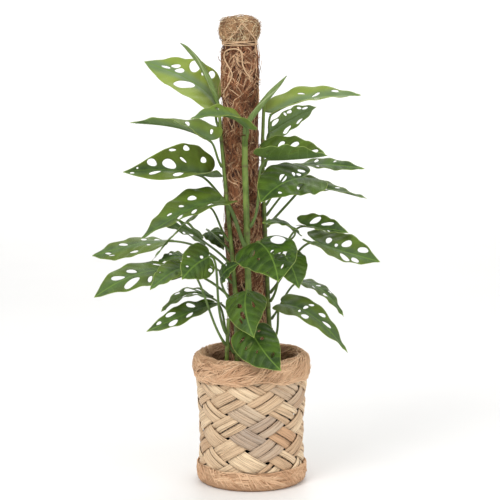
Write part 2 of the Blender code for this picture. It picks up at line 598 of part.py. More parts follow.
class Blade:
    """The bent surface of a leaf: flat places along and across the midrib become points in space."""

    def __init__(self, leaf):
        self.leaf = leaf
        self.base = np.array(leaf.base, float)
        self.chord = np.array(leaf.tip, float) - self.base
        self.up = unit(np.array(leaf.up) - unit(self.chord) * np.dot(leaf.up, unit(self.chord)))
        self.across = np.cross(self.up, unit(self.chord))
        steps = [self.midrib(k / 20) for k in range(21)]
        self.length = sum(np.linalg.norm(b - a) for a, b in zip(steps, steps[1:]))

    def midrib(self, u):
        share = min(max(u, 0.0), 1.0)
        bow = 4 * share * (1 - share) * (1 + 0.35 * (1 - 2 * share))
        spot = self.base + self.chord * share + self.up * self.leaf.arch * bow
        spot = spot + self.across * self.leaf.sway * 4 * share * (1 - share)
        return spot + self.ahead(0.0) * self.length * (u - share) if u < 0 else spot

    def ahead(self, u):
        low, high = max(u - 0.02, 0.0), min(max(u, 0.0) + 0.02, 1.0)
        return unit(self.midrib(high) - self.midrib(low))

    def frame(self, u):
        ahead = self.ahead(u)
        up = unit(self.up - ahead * np.dot(self.up, ahead))
        side = np.cross(up, ahead)
        turn = math.radians(self.leaf.twist * (min(max(u, 0), 1) - 0.25))
        cos, sin = math.cos(turn), math.sin(turn)
        return ahead, side * cos + up * sin, up * cos - side * sin

    def place(self, s, t):
        """The point at s millimetres from the stalk along the midrib and t across it."""
        u = s / self.length
        _, side, up = self.frame(u)
        fold, bend = math.radians(self.leaf.fold), math.radians(self.leaf.curl) / (self.leaf.width / 2)
        reach = abs(t)
        if abs(bend) < 1e-6:
            out, rise = reach * math.cos(fold), reach * math.sin(fold)
        else:
            out = (math.sin(fold) - math.sin(fold - bend * reach)) / bend
            rise = (math.cos(fold - bend * reach) - math.cos(fold)) / bend
        return self.midrib(u) + side * math.copysign(out, t) + up * rise


def blade_outline(leaf, length):
    """The flat outline from the stalk round the -t half to the tip and back."""
    rng = random.Random(leaf.name)
    notch = leaf.stalk * 0.95
    halves = []
    for side in (-1, 1):
        stretch = rng.uniform(0.94, 1.05)
        half = [(-0.5, side * notch)]
        for u, v in HALF_OUTLINE:
            reach = max(v * leaf.width / 2 * stretch, notch + 1.0)
            half.append((u * length * (leaf.lobe if u < 0 else 1.0), side * reach))
        halves.append(half)
    return [(0.0, 0.0)] + halves[0] + [(length, 0.0)] + halves[1][::-1]


def oval_opening(middle, long, wide, lean):
    """An oval hole in the blade, with more corners the longer it is."""
    corners = 8 if long >= LONG_OPENING else 6 if long >= SHORT_OPENING else 4
    cos, sin = math.cos(math.radians(lean)), math.sin(math.radians(lean))
    ring = []
    for k in range(corners):
        turn = 2 * math.pi * k / corners
        x, y = math.cos(turn) * long / 2, math.sin(turn) * wide / 2
        ring.append((middle[0] + x * cos - y * sin, middle[1] + x * sin + y * cos))
    return ring


def blade_openings(leaf, length):
    rings = []
    for share, across, long, wide, lean in leaf.openings:
        middle = (share / 100 * length, across / 100 * leaf.width / 2)
        rings.append(oval_opening(middle, long, wide, lean))
    return rings


def stalk_path(blade, leaf, root, outward):
    """Points from the blade's foot back and down to the stem."""
    start = np.array(leaf.base, float)
    back = -blade.ahead(0.0)
    reach = np.linalg.norm(root - start)
    rise = unit(outward + np.array((0, 0, 1.2)))
    first, second = start + back * reach * 0.28, root + rise * reach * 0.38
    path = []
    for k in range(1, STALK_RINGS + 1):
        t = 0.07 + 0.93 * (k - 1) / STALK_RINGS
        s = 1 - t
        path.append(s**3 * start + 3 * s * s * t * first + 3 * s * t * t * second + t**3 * root)
    return path + [root]


def root_ring(centre, outward, axis_point, seat, offsets, radius):
    """The stalk's last ring, laid round the stem at the seat's distance from its middle line."""
    across = np.cross((0, 0, 1), outward)
    ring = []
    for offset in offsets:
        spread = np.array((np.dot(offset, across), np.dot(offset, (0, 0, 1))))
        spread = unit(spread) * radius
        depth = math.sqrt(max(seat**2 - spread[0] ** 2, 0.2))
        ring.append(axis_point + outward * depth + across * spread[0] + np.array((0, 0, spread[1])))
    return ring


def add_stalk(points, faces, opening, blade, leaf):
    """The stalk as a six-sided tube from the blade's open notch to its seat on the stem."""
    stem = next(s for s in STEMS if s.name == "stem_" + leaf.stem)
    axis_point = along(stem.path, leaf.root_z)
    toward = np.array(leaf.base, float) - axis_point
    away = axis_point - along(POLE_AXIS, leaf.root_z)
    outward = unit(unit((toward[0], toward[1], 0)) + AWAY_FROM_POLE * unit((away[0], away[1], 0)))
    seat = stem_radius(stem, leaf.root_z) * KNOT_SWELL + SEAT_GAP
    root = axis_point + outward * seat
    path = stalk_path(blade, leaf, root, outward)
    ahead, side, up = blade.frame(0.0)
    angles = [math.radians(a) for a in (30, 90, 150, 210, 270, 330)]
    full = [np.array(leaf.base, float)] + path
    frames = carried_frames(full, -side)
    rings = [opening]
    for k, centre in enumerate(path[:-1]):
        first, over = frames[k + 1]
        radius = leaf.stalk * (1.0 + 0.18 * k / len(path))
        ring = []
        for angle in angles:
            points.append(centre + radius * (math.cos(angle) * first + math.sin(angle) * over))
            ring.append(len(points) - 1)
        rings.append(ring)
    first, over = frames[-2]
    offsets = [math.cos(a) * first + math.sin(a) * over for a in angles]
    last = root_ring(root, outward, axis_point, seat, offsets, leaf.stalk * 1.15)
    rings.append([len(points) + k for k in range(6)])
    points += last
    for near, far in zip(rings, rings[1:]):
        for k in range(6):
            nxt = (k + 1) % 6
            faces.append((near[k], near[nxt], far[nxt], far[k]))
    faces.append(tuple(rings[-1]))


def vertex_normals(points, triangles):
    normals = np.zeros((len(points), 3))
    for a, b, c in triangles:
        normal = np.cross(points[b] - points[a], points[c] - points[a])
        for k in (a, b, c):
            normals[k] += normal
    return np.array([unit(n) for n in normals])


def build_leaf(leaf):
    blade = Blade(leaf)
    length = blade.length
    outline = blade_outline(leaf, length)
    holes = blade_openings(leaf, length)
    tip_index = len(HALF_OUTLINE) + 2
    spine = (0, tip_index, [(u * length, 0.0) for u in MIDRIB_STEPS])
    loose = [(u * length, side * half_width(leaf, u) * 0.86)
             for side in (-1, 1) for u in (0.16, 0.40) if not any(side * o[1] > 0 for o in leaf.openings)]
    spots, triangles = cut_region(outline, holes, spine, loose)
    surface = np.array([blade.place(s, t) for s, t in spots])
    lift = vertex_normals(surface, triangles) * BLADE_THICK / 2
    points = list(surface + lift) + list(surface - lift)
    count = len(spots)
    faces = []
    for a, b, c in triangles:
        faces += [(a, b, c), (c + count, b + count, a + count)]
    foot = spots.index(min(spots, key=lambda p: abs(p[0]) + abs(p[1])))
    notch = []
    for a, b in open_edges(triangles):
        if foot in (a, b):
            notch.append((a, b))
        else:
            faces.append((b, a, a + count, b + count))
    before = next(a for a, b in notch if b == foot)
    after = next(b for a, b in notch if a == foot)
    opening = [after, foot, before, before + count, foot + count, after + count]
    add_stalk(points, faces, opening, blade, leaf)
    finish = YOUNG_GREEN if leaf.base[2] > 545 else GREEN
    add_piece(leaf.name, points, faces, finish)


# Young leaves, still rolled: name, points up the middle line, radius at each
ROLLS = (
    ("young_leaf_left", ((-49.5, -11, 581.5), (-52, -14, 592), (-60, -20, 616), (-78, -26, 650),
                         (-96, -28, 672), (-107, -28, 681)), (2.2, 3.2, 4.6, 4.4, 3.0, 0.8)),
    ("young_leaf_front", ((-10, -35.5, 543.5), (-8, -34, 556), (6, -34, 578), (27, -34, 604),
                          (42, -33, 620), (53, -32, 632)), (3.4, 3.8, 4.8, 5.0, 3.2, 0.8)),
)


def build_roll(name, path, radii):
    add_piece(name, *tube(path, radii, STALK_SIDES, first_side=(0, 1, 0)), YOUNG_GREEN)


def main():
    clear_scene()
    build_basket()
    add_piece("nursery_pot", *revolved(POT_PROFILE, POT_SIDES), POT_BLACK)
    build_soil()
    build_pole()
    build_twine()
    build_cane()
    for stem in STEMS:
        build_stem(stem)
    for leaf in LEAVES:
        build_leaf(leaf)
    for roll in ROLLS:
        build_roll(*roll)


if __name__ == "__main__":
    main()
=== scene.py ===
"""Dresses the climbing houseplant on its coir pole, in the plaited basket.

Sizes in the dataclasses are millimetres, and meshes are built in metres in the frame of the
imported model: +Z up, the front along -Y, the origin in the middle of the basket's underside.
The leaves, vines, pole, basket and twine follow the same rules and tables as the solids that
they stand for, with finer outlines, veins, fibres and strips.
"""

import sys

import json
import logging
import math
import random
from dataclasses import dataclass, field
from enum import Enum

import bpy
import numpy as np
from bpy.types import Material, Mesh, Node, NodeSocket, NodeTree, Object
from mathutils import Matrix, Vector
from mathutils.geometry import delaunay_2d_cdt

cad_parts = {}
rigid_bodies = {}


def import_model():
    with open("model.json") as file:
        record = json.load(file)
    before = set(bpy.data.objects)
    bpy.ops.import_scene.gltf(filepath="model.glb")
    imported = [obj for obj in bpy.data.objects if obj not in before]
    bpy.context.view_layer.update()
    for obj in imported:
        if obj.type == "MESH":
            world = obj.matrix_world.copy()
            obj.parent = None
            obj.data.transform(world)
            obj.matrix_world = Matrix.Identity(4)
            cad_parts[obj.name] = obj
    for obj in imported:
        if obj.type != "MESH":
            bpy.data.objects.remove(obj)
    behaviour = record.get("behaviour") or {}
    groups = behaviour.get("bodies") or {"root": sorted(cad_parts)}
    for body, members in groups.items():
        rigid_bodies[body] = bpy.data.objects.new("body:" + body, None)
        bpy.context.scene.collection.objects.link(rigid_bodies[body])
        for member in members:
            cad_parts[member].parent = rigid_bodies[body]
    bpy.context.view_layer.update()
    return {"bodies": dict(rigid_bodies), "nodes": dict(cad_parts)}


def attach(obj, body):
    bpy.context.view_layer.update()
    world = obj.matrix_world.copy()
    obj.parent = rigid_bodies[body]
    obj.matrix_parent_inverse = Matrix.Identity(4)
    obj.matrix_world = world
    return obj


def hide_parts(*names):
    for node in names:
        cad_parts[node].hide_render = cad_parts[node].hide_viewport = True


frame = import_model()

LOG = logging.getLogger("houseplant")
MM = 0.001
FULL_TURN = 2 * math.pi
# The gap that a stalk's foot leaves to its vine
SEAT = 0.35
Array = np.ndarray
Point = tuple[float, float, float]
Colour = tuple[float, float, float]
Body = tuple[Array, list]

# Where the pole stands and leans, and its (height, radius)
POLE_AXIS = ((-1, 0, 7.35), (-3, 0, 200), (-10, 0, 323), (-17, 0, 516), (-18, 0, 684), (-18, 0, 718))
POLE_PROFILE = ((7.35, 25.5), (90, 26.2), (160, 26.4), (320, 26.4), (560, 26.4), (630, 26.4), (664, 26.2),
                (677, 24.6), (684, 24.6), (690, 28.4), (700, 29.8), (709, 28.2), (714.5, 23.5), (716.5, 14),
                (717, 0.4))
# The basket wall's middle surface as (height, radius)
WALL_LINE = ((9, 77.6), (30, 78.2), (60, 77.2), (90, 77.4), (120, 79.4), (150, 81.7), (165, 81.9),
             (190, 81.2))
# Half a leaf's outline as shares of its length and of half its width
HALF_OUTLINE = (
    (-0.09, 0.12), (-0.17, 0.29), (-0.19, 0.53), (-0.12, 0.79), (0.02, 0.95), (0.19, 1.0),
    (0.37, 0.93), (0.54, 0.77), (0.70, 0.55), (0.84, 0.29), (0.94, 0.10),
)


class Litter(Enum):
    """What a growth tree scatters."""

    FIBRES = "fibres"
    CRUMBS = "crumbs"


class Slant(Enum):
    """Which way a strip of the wall runs, seen from outside towards +X."""

    RISING = 0
    FALLING = 1


# Small geometry helpers


def unit(vector: Array) -> Array:
    """The vector, or each row of vectors, at length one."""
    vector = np.asarray(vector, float)
    return vector / np.maximum(np.linalg.norm(vector, axis=-1, keepdims=True), 1e-9)


def circle(sides: int) -> Array:
    """The turns of evenly spaced corners, in radians."""
    return FULL_TURN * np.arange(sides) / sides


def table_value(table: tuple, at: Array | float) -> Array:
    """The second column of a table, read between its rows at values of the first."""
    columns = np.array(table, float)
    return np.interp(at, columns[:, 0], columns[:, 1])


def along(path: tuple, z: float) -> Array:
    """The point at the height z of a path whose points rise."""
    path = np.asarray(path, float)
    return np.array([np.interp(z, path[:, 2], path[:, k]) for k in range(3)])


def from_front(turn: Array | float, radius: Array | float, z: Array | float) -> Array:
    """Points round the upright axis, turned from the front towards +X."""
    return np.stack([radius * np.sin(turn), -radius * np.cos(turn), z], axis=-1)


def walked(path: Array) -> Array:
    """How far each point of a path is from its start."""
    return np.concatenate([[0], np.cumsum(np.linalg.norm(np.diff(path, axis=0), axis=1))])


def smooth_path(points: Array, steps: int = 8) -> Array:
    """Rounds a path through its points.

    Args:
        points: The path's points, one a row.
        steps: How many points replace each stretch.

    Returns:
        The denser path, which passes through the given points.
    """
    points = np.asarray(points, float)
    padded = np.vstack([2 * points[0] - points[1], points, 2 * points[-1] - points[-2]])
    out = []
    for k in range(1, len(padded) - 2):
        a, b, c, d = padded[k - 1 : k + 3]
        for t in np.arange(steps) / steps:
            out.append(0.5 * (2 * b + (c - a) * t + (2 * a - 5 * b + 4 * c - d) * t**2
                              + (3 * b - a - 3 * c + d) * t**3))
    return np.array(out + [points[-1]])


def evened(path: Array, step: float) -> Array:
    """Lays the points of a line about one step apart.

    Args:
        path: The line's points, one a row.
        step: The distance from point to point.

    Returns:
        The same line with its new points.
    """
    far = walked(path)
    places = np.linspace(0, far[-1], max(int(round(far[-1] / step)), 2) + 1)
    return np.column_stack([np.interp(places, far, path[:, k]) for k in range(path.shape[1])])


def carried_frames(path: Array, first_side: Point) -> tuple[Array, Array]:
    """Side and over directions carried along a path without twist.

    Args:
        path: The path's points, one a row.
        first_side: A direction roughly across the path's start.

    Returns:
        The side directions and the over directions, one a row.
    """
    ahead = unit(np.gradient(path, axis=0))
    side, sides = np.asarray(first_side, float), []
    for direction in ahead:
        side = unit(side - direction * np.dot(side, direction))
        sides.append(side)
    sides = np.array(sides)
    return sides, np.cross(ahead, sides)


def lattice_faces(rows: int, columns: int) -> list:
    """Joins the rings of a body whose points were laid out ring by ring.

    Args:
        rows: The number of rings.
        columns: The number of points in each ring.

    Returns:
        The faces between the rings.
    """
    faces = []
    for row in range(rows - 1):
        a, b = row * columns, (row + 1) * columns
        for column in range(columns):
            after = (column + 1) % columns
            faces.append((a + column, a + after, b + after, b + column))
    return faces


def body_faces(rows: int, columns: int) -> list:
    """Quads round a body laid out ring by ring, and a cap at each end."""
    last = (rows - 1) * columns
    return lattice_faces(rows, columns) + [tuple(reversed(range(columns))),
                                           tuple(range(last, last + columns))]


def flipped(faces: list) -> list:
    """The same faces, seen from their other side."""
    return [tuple(reversed(face)) for face in faces]


def tube(path: Array, radii: Array, sides: int, first_side: Point = (1.0, 0.1, 0.0),
         section: Array | float = 1.0, winding: Array | float = 0.0) -> Body:
    """A capped tube along a path.

    Args:
        path: The path's points, one a row.
        radii: The radius at each point.
        sides: How many corners the section has.
        first_side: A direction roughly across the path's start.
        section: How far each corner lies from the middle, as a share of the radius.
        winding: How far the section is turned at each point, in radians.

    Returns:
        The points and the faces.
    """
    side, over = carried_frames(path, first_side)
    turns = circle(sides) + np.reshape(winding, (-1, 1))
    ring = np.asarray(radii, float)[:, None] * (section * np.ones(sides))
    points = (path[:, None] + side[:, None] * (ring * np.cos(turns))[..., None]
              + over[:, None] * (ring * np.sin(turns))[..., None])
    return points.reshape(-1, 3), body_faces(len(path), sides)


def run_of(ahead: Array, across: Array, mark: float) -> Array:
    """The vectors that a piece's streaks are read from.

    Args:
        ahead: How far along the piece each row of points lies.
        across: How far across it each point lies, for one row or for all rows.
        mark: A number that sets its streaks apart from those of others.

    Returns:
        One vector for each point, row by row.
    """
    across = np.broadcast_to(across, (len(ahead), np.shape(across)[-1]))
    ahead = np.broadcast_to(np.asarray(ahead)[:, None], across.shape)
    return np.stack([ahead, across, np.full(across.shape, mark)], axis=-1).reshape(-1, 3)


def lathe(profile: tuple, sides: int) -> Body:
    """Turns a closed profile about the upright axis.

    Args:
        profile: The corners as (radius, z), with radius 0 where the shape meets the axis.
        sides: How many steps make the full turn.

    Returns:
        The points and the faces.
    """
    points, rings, faces = [], [], []
    for radius, z in profile:
        spots = [(radius * math.cos(turn), radius * math.sin(turn), z) for turn in circle(sides)]
        spots = spots if radius else [(0.0, 0.0, z)]
        rings.append([len(points) + k % len(spots) for k in range(sides)])
        points += spots
    for low, high in zip(rings, rings[1:] + rings[:1]):
        for k in range(sides):
            after = (k + 1) % sides
            corners = tuple(dict.fromkeys((low[k], low[after], high[after], high[k])))
            if len(corners) > 2:
                faces.append(corners)
    return np.array(points), faces


# Meshes and pieces


def linked(name: str, data: bpy.types.ID) -> Object:
    """Makes an object.

    Args:
        name: Its name.
        data: Its mesh, light or camera.

    Returns:
        The object, linked to the scene.
    """
    obj = bpy.data.objects.new(name, data)
    bpy.context.scene.collection.objects.link(obj)
    return obj


def store(mesh: Mesh, name: str, data: Array) -> None:
    """Keeps a value of each point in a mesh.

    Args:
        mesh: The mesh.
        name: The name of the value.
        data: A number or a vector for each point.
    """
    vector = np.ndim(data) == 2
    attribute = mesh.attributes.new(name, "FLOAT_VECTOR" if vector else "FLOAT", "POINT")
    attribute.data.foreach_set("vector" if vector else "value", np.asarray(data, np.float32).ravel())


def soften(mesh: Mesh) -> None:
    """Shades all faces of a mesh smoothly."""
    mesh.polygons.foreach_set("use_smooth", [True] * len(mesh.polygons))


class Shape:
    """Points, faces and per-point values gathered for one piece."""

    def __init__(self) -> None:
        """Starts an empty shape."""
        self.points: list[Array] = []
        self.faces: list[tuple] = []
        self.finish_of: list[int] = []
        self.values: list[dict[str, Array]] = []
        self.count = 0

    def add(self, body: Body, finish: int | list[int] = 0, **values: Array | float) -> None:
        """Adds one closed body.

        Args:
            body: Its points in millimetres, and its faces counted from 0.
            finish: Which of the piece's materials it wears, as one number or one for each face.
            **values: A number or vector for each point, a number for each ring of points, or one
                number for all.
        """
        points, faces = body
        self.faces += [tuple(int(i) + self.count for i in face) for face in faces]
        self.finish_of += finish if isinstance(finish, list) else [finish] * len(faces)
        self.points.append(np.asarray(points, float))
        self.values.append({key: np.repeat(value, len(points) // len(value)) if np.ndim(value) == 1 else value
                            for key, value in values.items()})
        self.count += len(points)

    def spread(self, name: str) -> Array:
        """One named value for every point of the shape, 0 where a body has none."""
        vector = any(np.ndim(values.get(name, 0)) == 2 for values in self.values)
        return np.concatenate([
            np.broadcast_to(values.get(name, 0.0), (len(points), 3) if vector else (len(points),))
            for points, values in zip(self.points, self.values)])

    def mesh_object(self, name: str, materials: list[Material]) -> Object:
        """The plain object, with its values as attributes.

        Args:
            name: The object's name.
            materials: Its materials in order.

        Returns:
            The object, linked to the scene.
        """
        mesh = bpy.data.meshes.new(name)
        mesh.from_pydata((np.concatenate(self.points) * MM).tolist(), [], self.faces)
        for material in materials:
            mesh.materials.append(material)
        soften(mesh)
        mesh.polygons.foreach_set("material_index", self.finish_of)
        for value in sorted({key for values in self.values for key in values}):
            store(mesh, value, self.spread(value))
        mesh.update()
        return linked(name, mesh)

    def finished(self, name: str, materials: list[Material], node: str) -> None:
        """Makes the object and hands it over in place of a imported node."""
        settle(self.mesh_object(name, materials), (node,))


def settle(obj: Object, stands_for: tuple[str, ...] = ()) -> None:
    """Hands a finished piece to the frame and reports it.

    Args:
        obj: The piece, at the origin with its place in its mesh.
        stands_for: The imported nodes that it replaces.
    """
    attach(obj, "root")
    if stands_for:
        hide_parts(*stands_for)
    LOG.info("%s: %d faces, for %s", obj.name, len(obj.data.polygons), ", ".join(stands_for) or "no node")


# Node trees: joining, shared shader groups and shared growth trees


class Wiring:
    """Adds nodes to one tree and joins them."""

    def __init__(self, tree: NodeTree) -> None:
        """Keeps the tree that the nodes go into."""
        self.tree = tree

    def feed(self, socket: NodeSocket, value: object) -> None:
        """Joins a socket to another one, or sets its value.

        Args:
            socket: The socket.
            value: The other socket, or the value.
        """
        if isinstance(value, NodeSocket):
            self.tree.links.new(value, socket)
        else:
            socket.default_value = value

    def node(self, kind: str, inputs: dict | None = None, **settings: object) -> Node:
        """Adds a node.

        Args:
            kind: The node's type.
            inputs: What feeds its sockets, by name or number: another socket or a value.
            **settings: The node's own settings.

        Returns:
            The node.
        """
        made = self.tree.nodes.new(kind)
        for key, value in settings.items():
            setattr(made, key, value)
        for key, value in (inputs or {}).items():
            self.feed(made.inputs[key], value)
        return made

    def result(self, kind: str, inputs: dict | None = None, **settings: object) -> NodeSocket:
        """Adds a node, as node() does, and gives its first result."""
        return self.node(kind, inputs, **settings).outputs[0]

    def math(self, operation: str, first: object, second: object = 0.0) -> NodeSocket:
        """The result of one sum with one or two numbers."""
        return self.result("ShaderNodeMath", {0: first, 1: second}, operation=operation)

    def times(self, first: object, second: object) -> NodeSocket:
        """The product of two numbers."""
        return self.math("MULTIPLY", first, second)

    def mixed(self, *parts: tuple[object, float]) -> NodeSocket:
        """Adds numbers up.

        Args:
            *parts: Each number with what it is multiplied by.

        Returns:
            The sum's socket.
        """
        total = 0.0
        for value, share in parts:
            total = self.math("ADD", total, self.times(value, share))
        return total

    def vectors(self, operation: str, first: object, second: object = (0.0, 0.0, 0.0)) -> NodeSocket:
        """The vector that one sum with one or two vectors gives."""
        return self.result("ShaderNodeVectorMath", {0: first, 1: second}, operation=operation)

    def scaled(self, vector: object, size: object) -> NodeSocket:
        """A vector, made longer or shorter."""
        return self.result("ShaderNodeVectorMath", {0: vector, "Scale": size}, operation="SCALE")

    def mapped(self, value: object, low: float, high: float, to_low: float = 0.0,
               to_high: float = 1.0) -> NodeSocket:
        """A number that eases from to_low to to_high while the value goes from low to high."""
        return self.result("ShaderNodeMapRange", {0: value, 1: low, 2: high, 3: to_low, 4: to_high},
                           interpolation_type="SMOOTHSTEP")

    def noise(self, vector: object, scale: object, detail: float = 2.0, rough: float = 0.5,
              output: str = "Fac") -> NodeSocket:
        """Soft noise between 0 and 1, as a number or, from the Color output, three of them."""
        return self.node("ShaderNodeTexNoise", {"Vector": vector, "Scale": scale, "Detail": detail,
                                                "Roughness": rough}).outputs[output]


class Group(Wiring):
    """A new node group with the sockets that it is given and the ones that it gives."""

    def __init__(self, name: str, kind: str, inputs: tuple, outputs: tuple) -> None:
        """Starts the group.

        Args:
            name: Its name.
            kind: The type of tree.
            inputs: For each input its name, its sort of socket and, where it has one, its value.
            outputs: For each output its name and its sort of socket.
        """
        super().__init__(bpy.data.node_groups.new(name, kind))
        for way, rows in (("INPUT", inputs), ("OUTPUT", outputs)):
            for label, sort, *value in rows:
                socket = self.tree.interface.new_socket(label, in_out=way, socket_type="NodeSocket" + sort)
                if value:
                    socket.default_value = value[0]
        self.given = self.node("NodeGroupInput").outputs
        self.out = self.node("NodeGroupOutput").inputs

    def giving(self, *results: NodeSocket) -> NodeTree:
        """Ends the group.

        Args:
            *results: What feeds its outputs, in their order.

        Returns:
            The group's tree.
        """
        for socket, result in zip(self.out, results):
            self.feed(socket, result)
        return self.tree

    def chance(self, low: object, high: object, step: int) -> NodeSocket:
        """A random number for each item, from the group's seed moved on by a step."""
        sockets = {2: low, 3: high, "Seed": self.math("ADD", self.given["Seed"], step)}
        return self.node("FunctionNodeRandomValue", sockets, data_type="FLOAT").outputs[1]

    def named(self, name: str, kind: str) -> NodeSocket:
        """A value that the geometry carries under a name."""
        return self.result("GeometryNodeInputNamedAttribute", {"Name": name}, data_type=kind)

    def noted(self, geometry: object, name: str, value: object, kind: str, domain: str) -> NodeSocket:
        """The geometry with a value kept under a name."""
        sockets = {"Geometry": geometry, "Name": name, "Value": value}
        return self.result("GeometryNodeStoreNamedAttribute", sockets, data_type=kind, domain=domain)

    def piped(self, lines: object, sides: object, thick: object) -> NodeSocket:
        """Closed pipes of a given thickness along lines."""
        ring = self.result("GeometryNodeCurvePrimitiveCircle", {"Resolution": sides, "Radius": 1.0})
        return self.result("GeometryNodeCurveToMesh", {"Curve": lines, "Profile Curve": ring, "Scale": thick,
                                                       "Fill Caps": True})

    def solid(self, geometry: object) -> NodeTree:
        """Ends a growth tree with real geometry that wears the given finish."""
        whole = self.result("GeometryNodeRealizeInstances", {0: geometry})
        return self.giving(self.result("GeometryNodeSetMaterial", {0: whole, "Material": self.given["Finish"]}))


def streaks_group() -> NodeTree:
    """Builds the streaks that run along a strip or a fibre, read from its own run vector.

    Returns:
        The group, which gives fine streaks, broad ones and short specks.
    """
    group = Group("lengthwise_streaks", "ShaderNodeTree", (("Run", "Vector"),),
                  (("Fine", "Float"), ("Broad", "Float"), ("Speck", "Float")))
    rows = (((0.018, 0.85, 5.3), 3.0, 0.6, 0.3, 0.7), ((0.03, 0.26, 3.7), 2.0, 0.5, 0.3, 0.7),
            ((0.35, 1.1, 9.1), 2.0, 0.5, 0.64, 0.74))
    return group.giving(*(
        group.mapped(group.noise(group.vectors("MULTIPLY", group.given["Run"], stretch), 1.0, detail, rough),
                     low, high)
        for stretch, detail, rough, low, high in rows))


def mottle_group() -> NodeTree:
    """Builds the blotches that are read from the place on the piece.

    Returns:
        The group, which gives large blotches and small ones.
    """
    group = Group("mottle", "ShaderNodeTree", (("Place", "Vector"), ("Scale", "Float", 60.0)),
                  (("Large", "Float"), ("Small", "Float")))
    place, scale = group.given["Place"], group.given["Scale"]
    return group.giving(group.mapped(group.noise(place, scale), 0.32, 0.68),
                        group.mapped(group.noise(place, group.times(scale, 9.0), 3.0), 0.3, 0.7))


def veins_group() -> NodeTree:
    """Builds the side veins, one at every whole number of the rib value.

    Returns:
        The group, which gives the veins, the swelling between them and a fine net.
    """
    group = Group("side_veins", "ShaderNodeTree", (("Ribs", "Float"), ("Place", "Vector")),
                  (("Vein", "Float"), ("Swell", "Float"), ("Net", "Float")))
    place = group.given["Place"]
    ribs = group.math("ADD", group.given["Ribs"], group.times(group.noise(place, 90.0), 0.16))
    off = group.math("PINGPONG", ribs, 0.5)
    finer = group.math("PINGPONG", group.times(ribs, 4.0), 0.5)
    net = group.result("ShaderNodeTexVoronoi", {"Vector": place, "Scale": 420.0}, feature="DISTANCE_TO_EDGE")
    fine = group.times(group.mapped(finer, 0.12, 0.03), 0.2)
    vein = group.math("MAXIMUM", group.mapped(off, 0.05, 0.012), fine)
    return group.giving(vein, group.mapped(off, 0.0, 0.4), group.mapped(net, 0.09, 0.0))


def strands_tree() -> NodeTree:
    """Builds the tree that turns loose edges into tapering strands as thick as each point says.

    Returns:
        The tree, with named inputs for the sides, the overall thickness and the finish.
    """
    group = Group("strands", "GeometryNodeTree",
                  (("Strands", "Geometry"), ("Sides", "Int", 4), ("Thickness", "Float", 1.0),
                   ("Finish", "Material")), (("Strands", "Geometry"),))
    lines = group.result("GeometryNodeMeshToCurve", {0: group.given["Strands"]})
    thick = group.times(group.named("thick", "FLOAT"), group.given["Thickness"])
    return group.solid(group.piped(lines, group.given["Sides"], thick))


def fibre_item(group: Group) -> NodeSocket:
    """Makes the item that is scattered as fibre: two short lines side by side.

    Args:
        group: The tree that it is made in.

    Returns:
        The lines.
    """
    joined = group.node("GeometryNodeJoinGeometry")
    for start, end, side in ((-0.5, 0.46, -0.018), (-0.42, 0.52, 0.022)):
        group.feed(joined.inputs[0], group.result(
            "GeometryNodeCurvePrimitiveLine", {"Start": (start, side, 0.0), "End": (end, side * 0.6, 0.0)}))
    return group.result("GeometryNodeResampleCurve", {"Curve": joined.outputs[0], "Count": 5})


def laid_back(group: Group, moved: NodeSocket, here: NodeSocket) -> NodeSocket:
    """Lays fibres back on the carrier and gives them their thickness.

    Each one is lifted by its own rise and by a share of how far it stood off.

    Args:
        group: The tree.
        moved: The scattered lines.
        here: Where their points are.

    Returns:
        The fibres as closed pipes.
    """
    near = group.node("GeometryNodeProximity", {0: group.given["Carrier"]}).outputs["Position"]
    lift = group.named("lift", "FLOAT_VECTOR")
    out_way = group.vectors("NORMALIZE", lift)
    stand = group.node("ShaderNodeVectorMath", {0: group.vectors("SUBTRACT", here, near), 1: out_way},
                       operation="DOT_PRODUCT").outputs["Value"]
    raised = group.scaled(out_way, group.times(group.math("MAXIMUM", stand, 0.0), group.given["Hug"]))
    whole_way = group.vectors("ADD", group.vectors("ADD", near, lift), raised)
    bent = group.result("GeometryNodeSetPosition", {"Geometry": moved, "Position": whole_way})
    share = group.node("GeometryNodeSplineParameter").outputs["Factor"]
    taper = group.math("SUBTRACT", 1.1, group.math("ABSOLUTE", group.math("SUBTRACT", share, 0.5)))
    return group.piped(bent, 3, group.times(taper, group.given["Thickness"]))


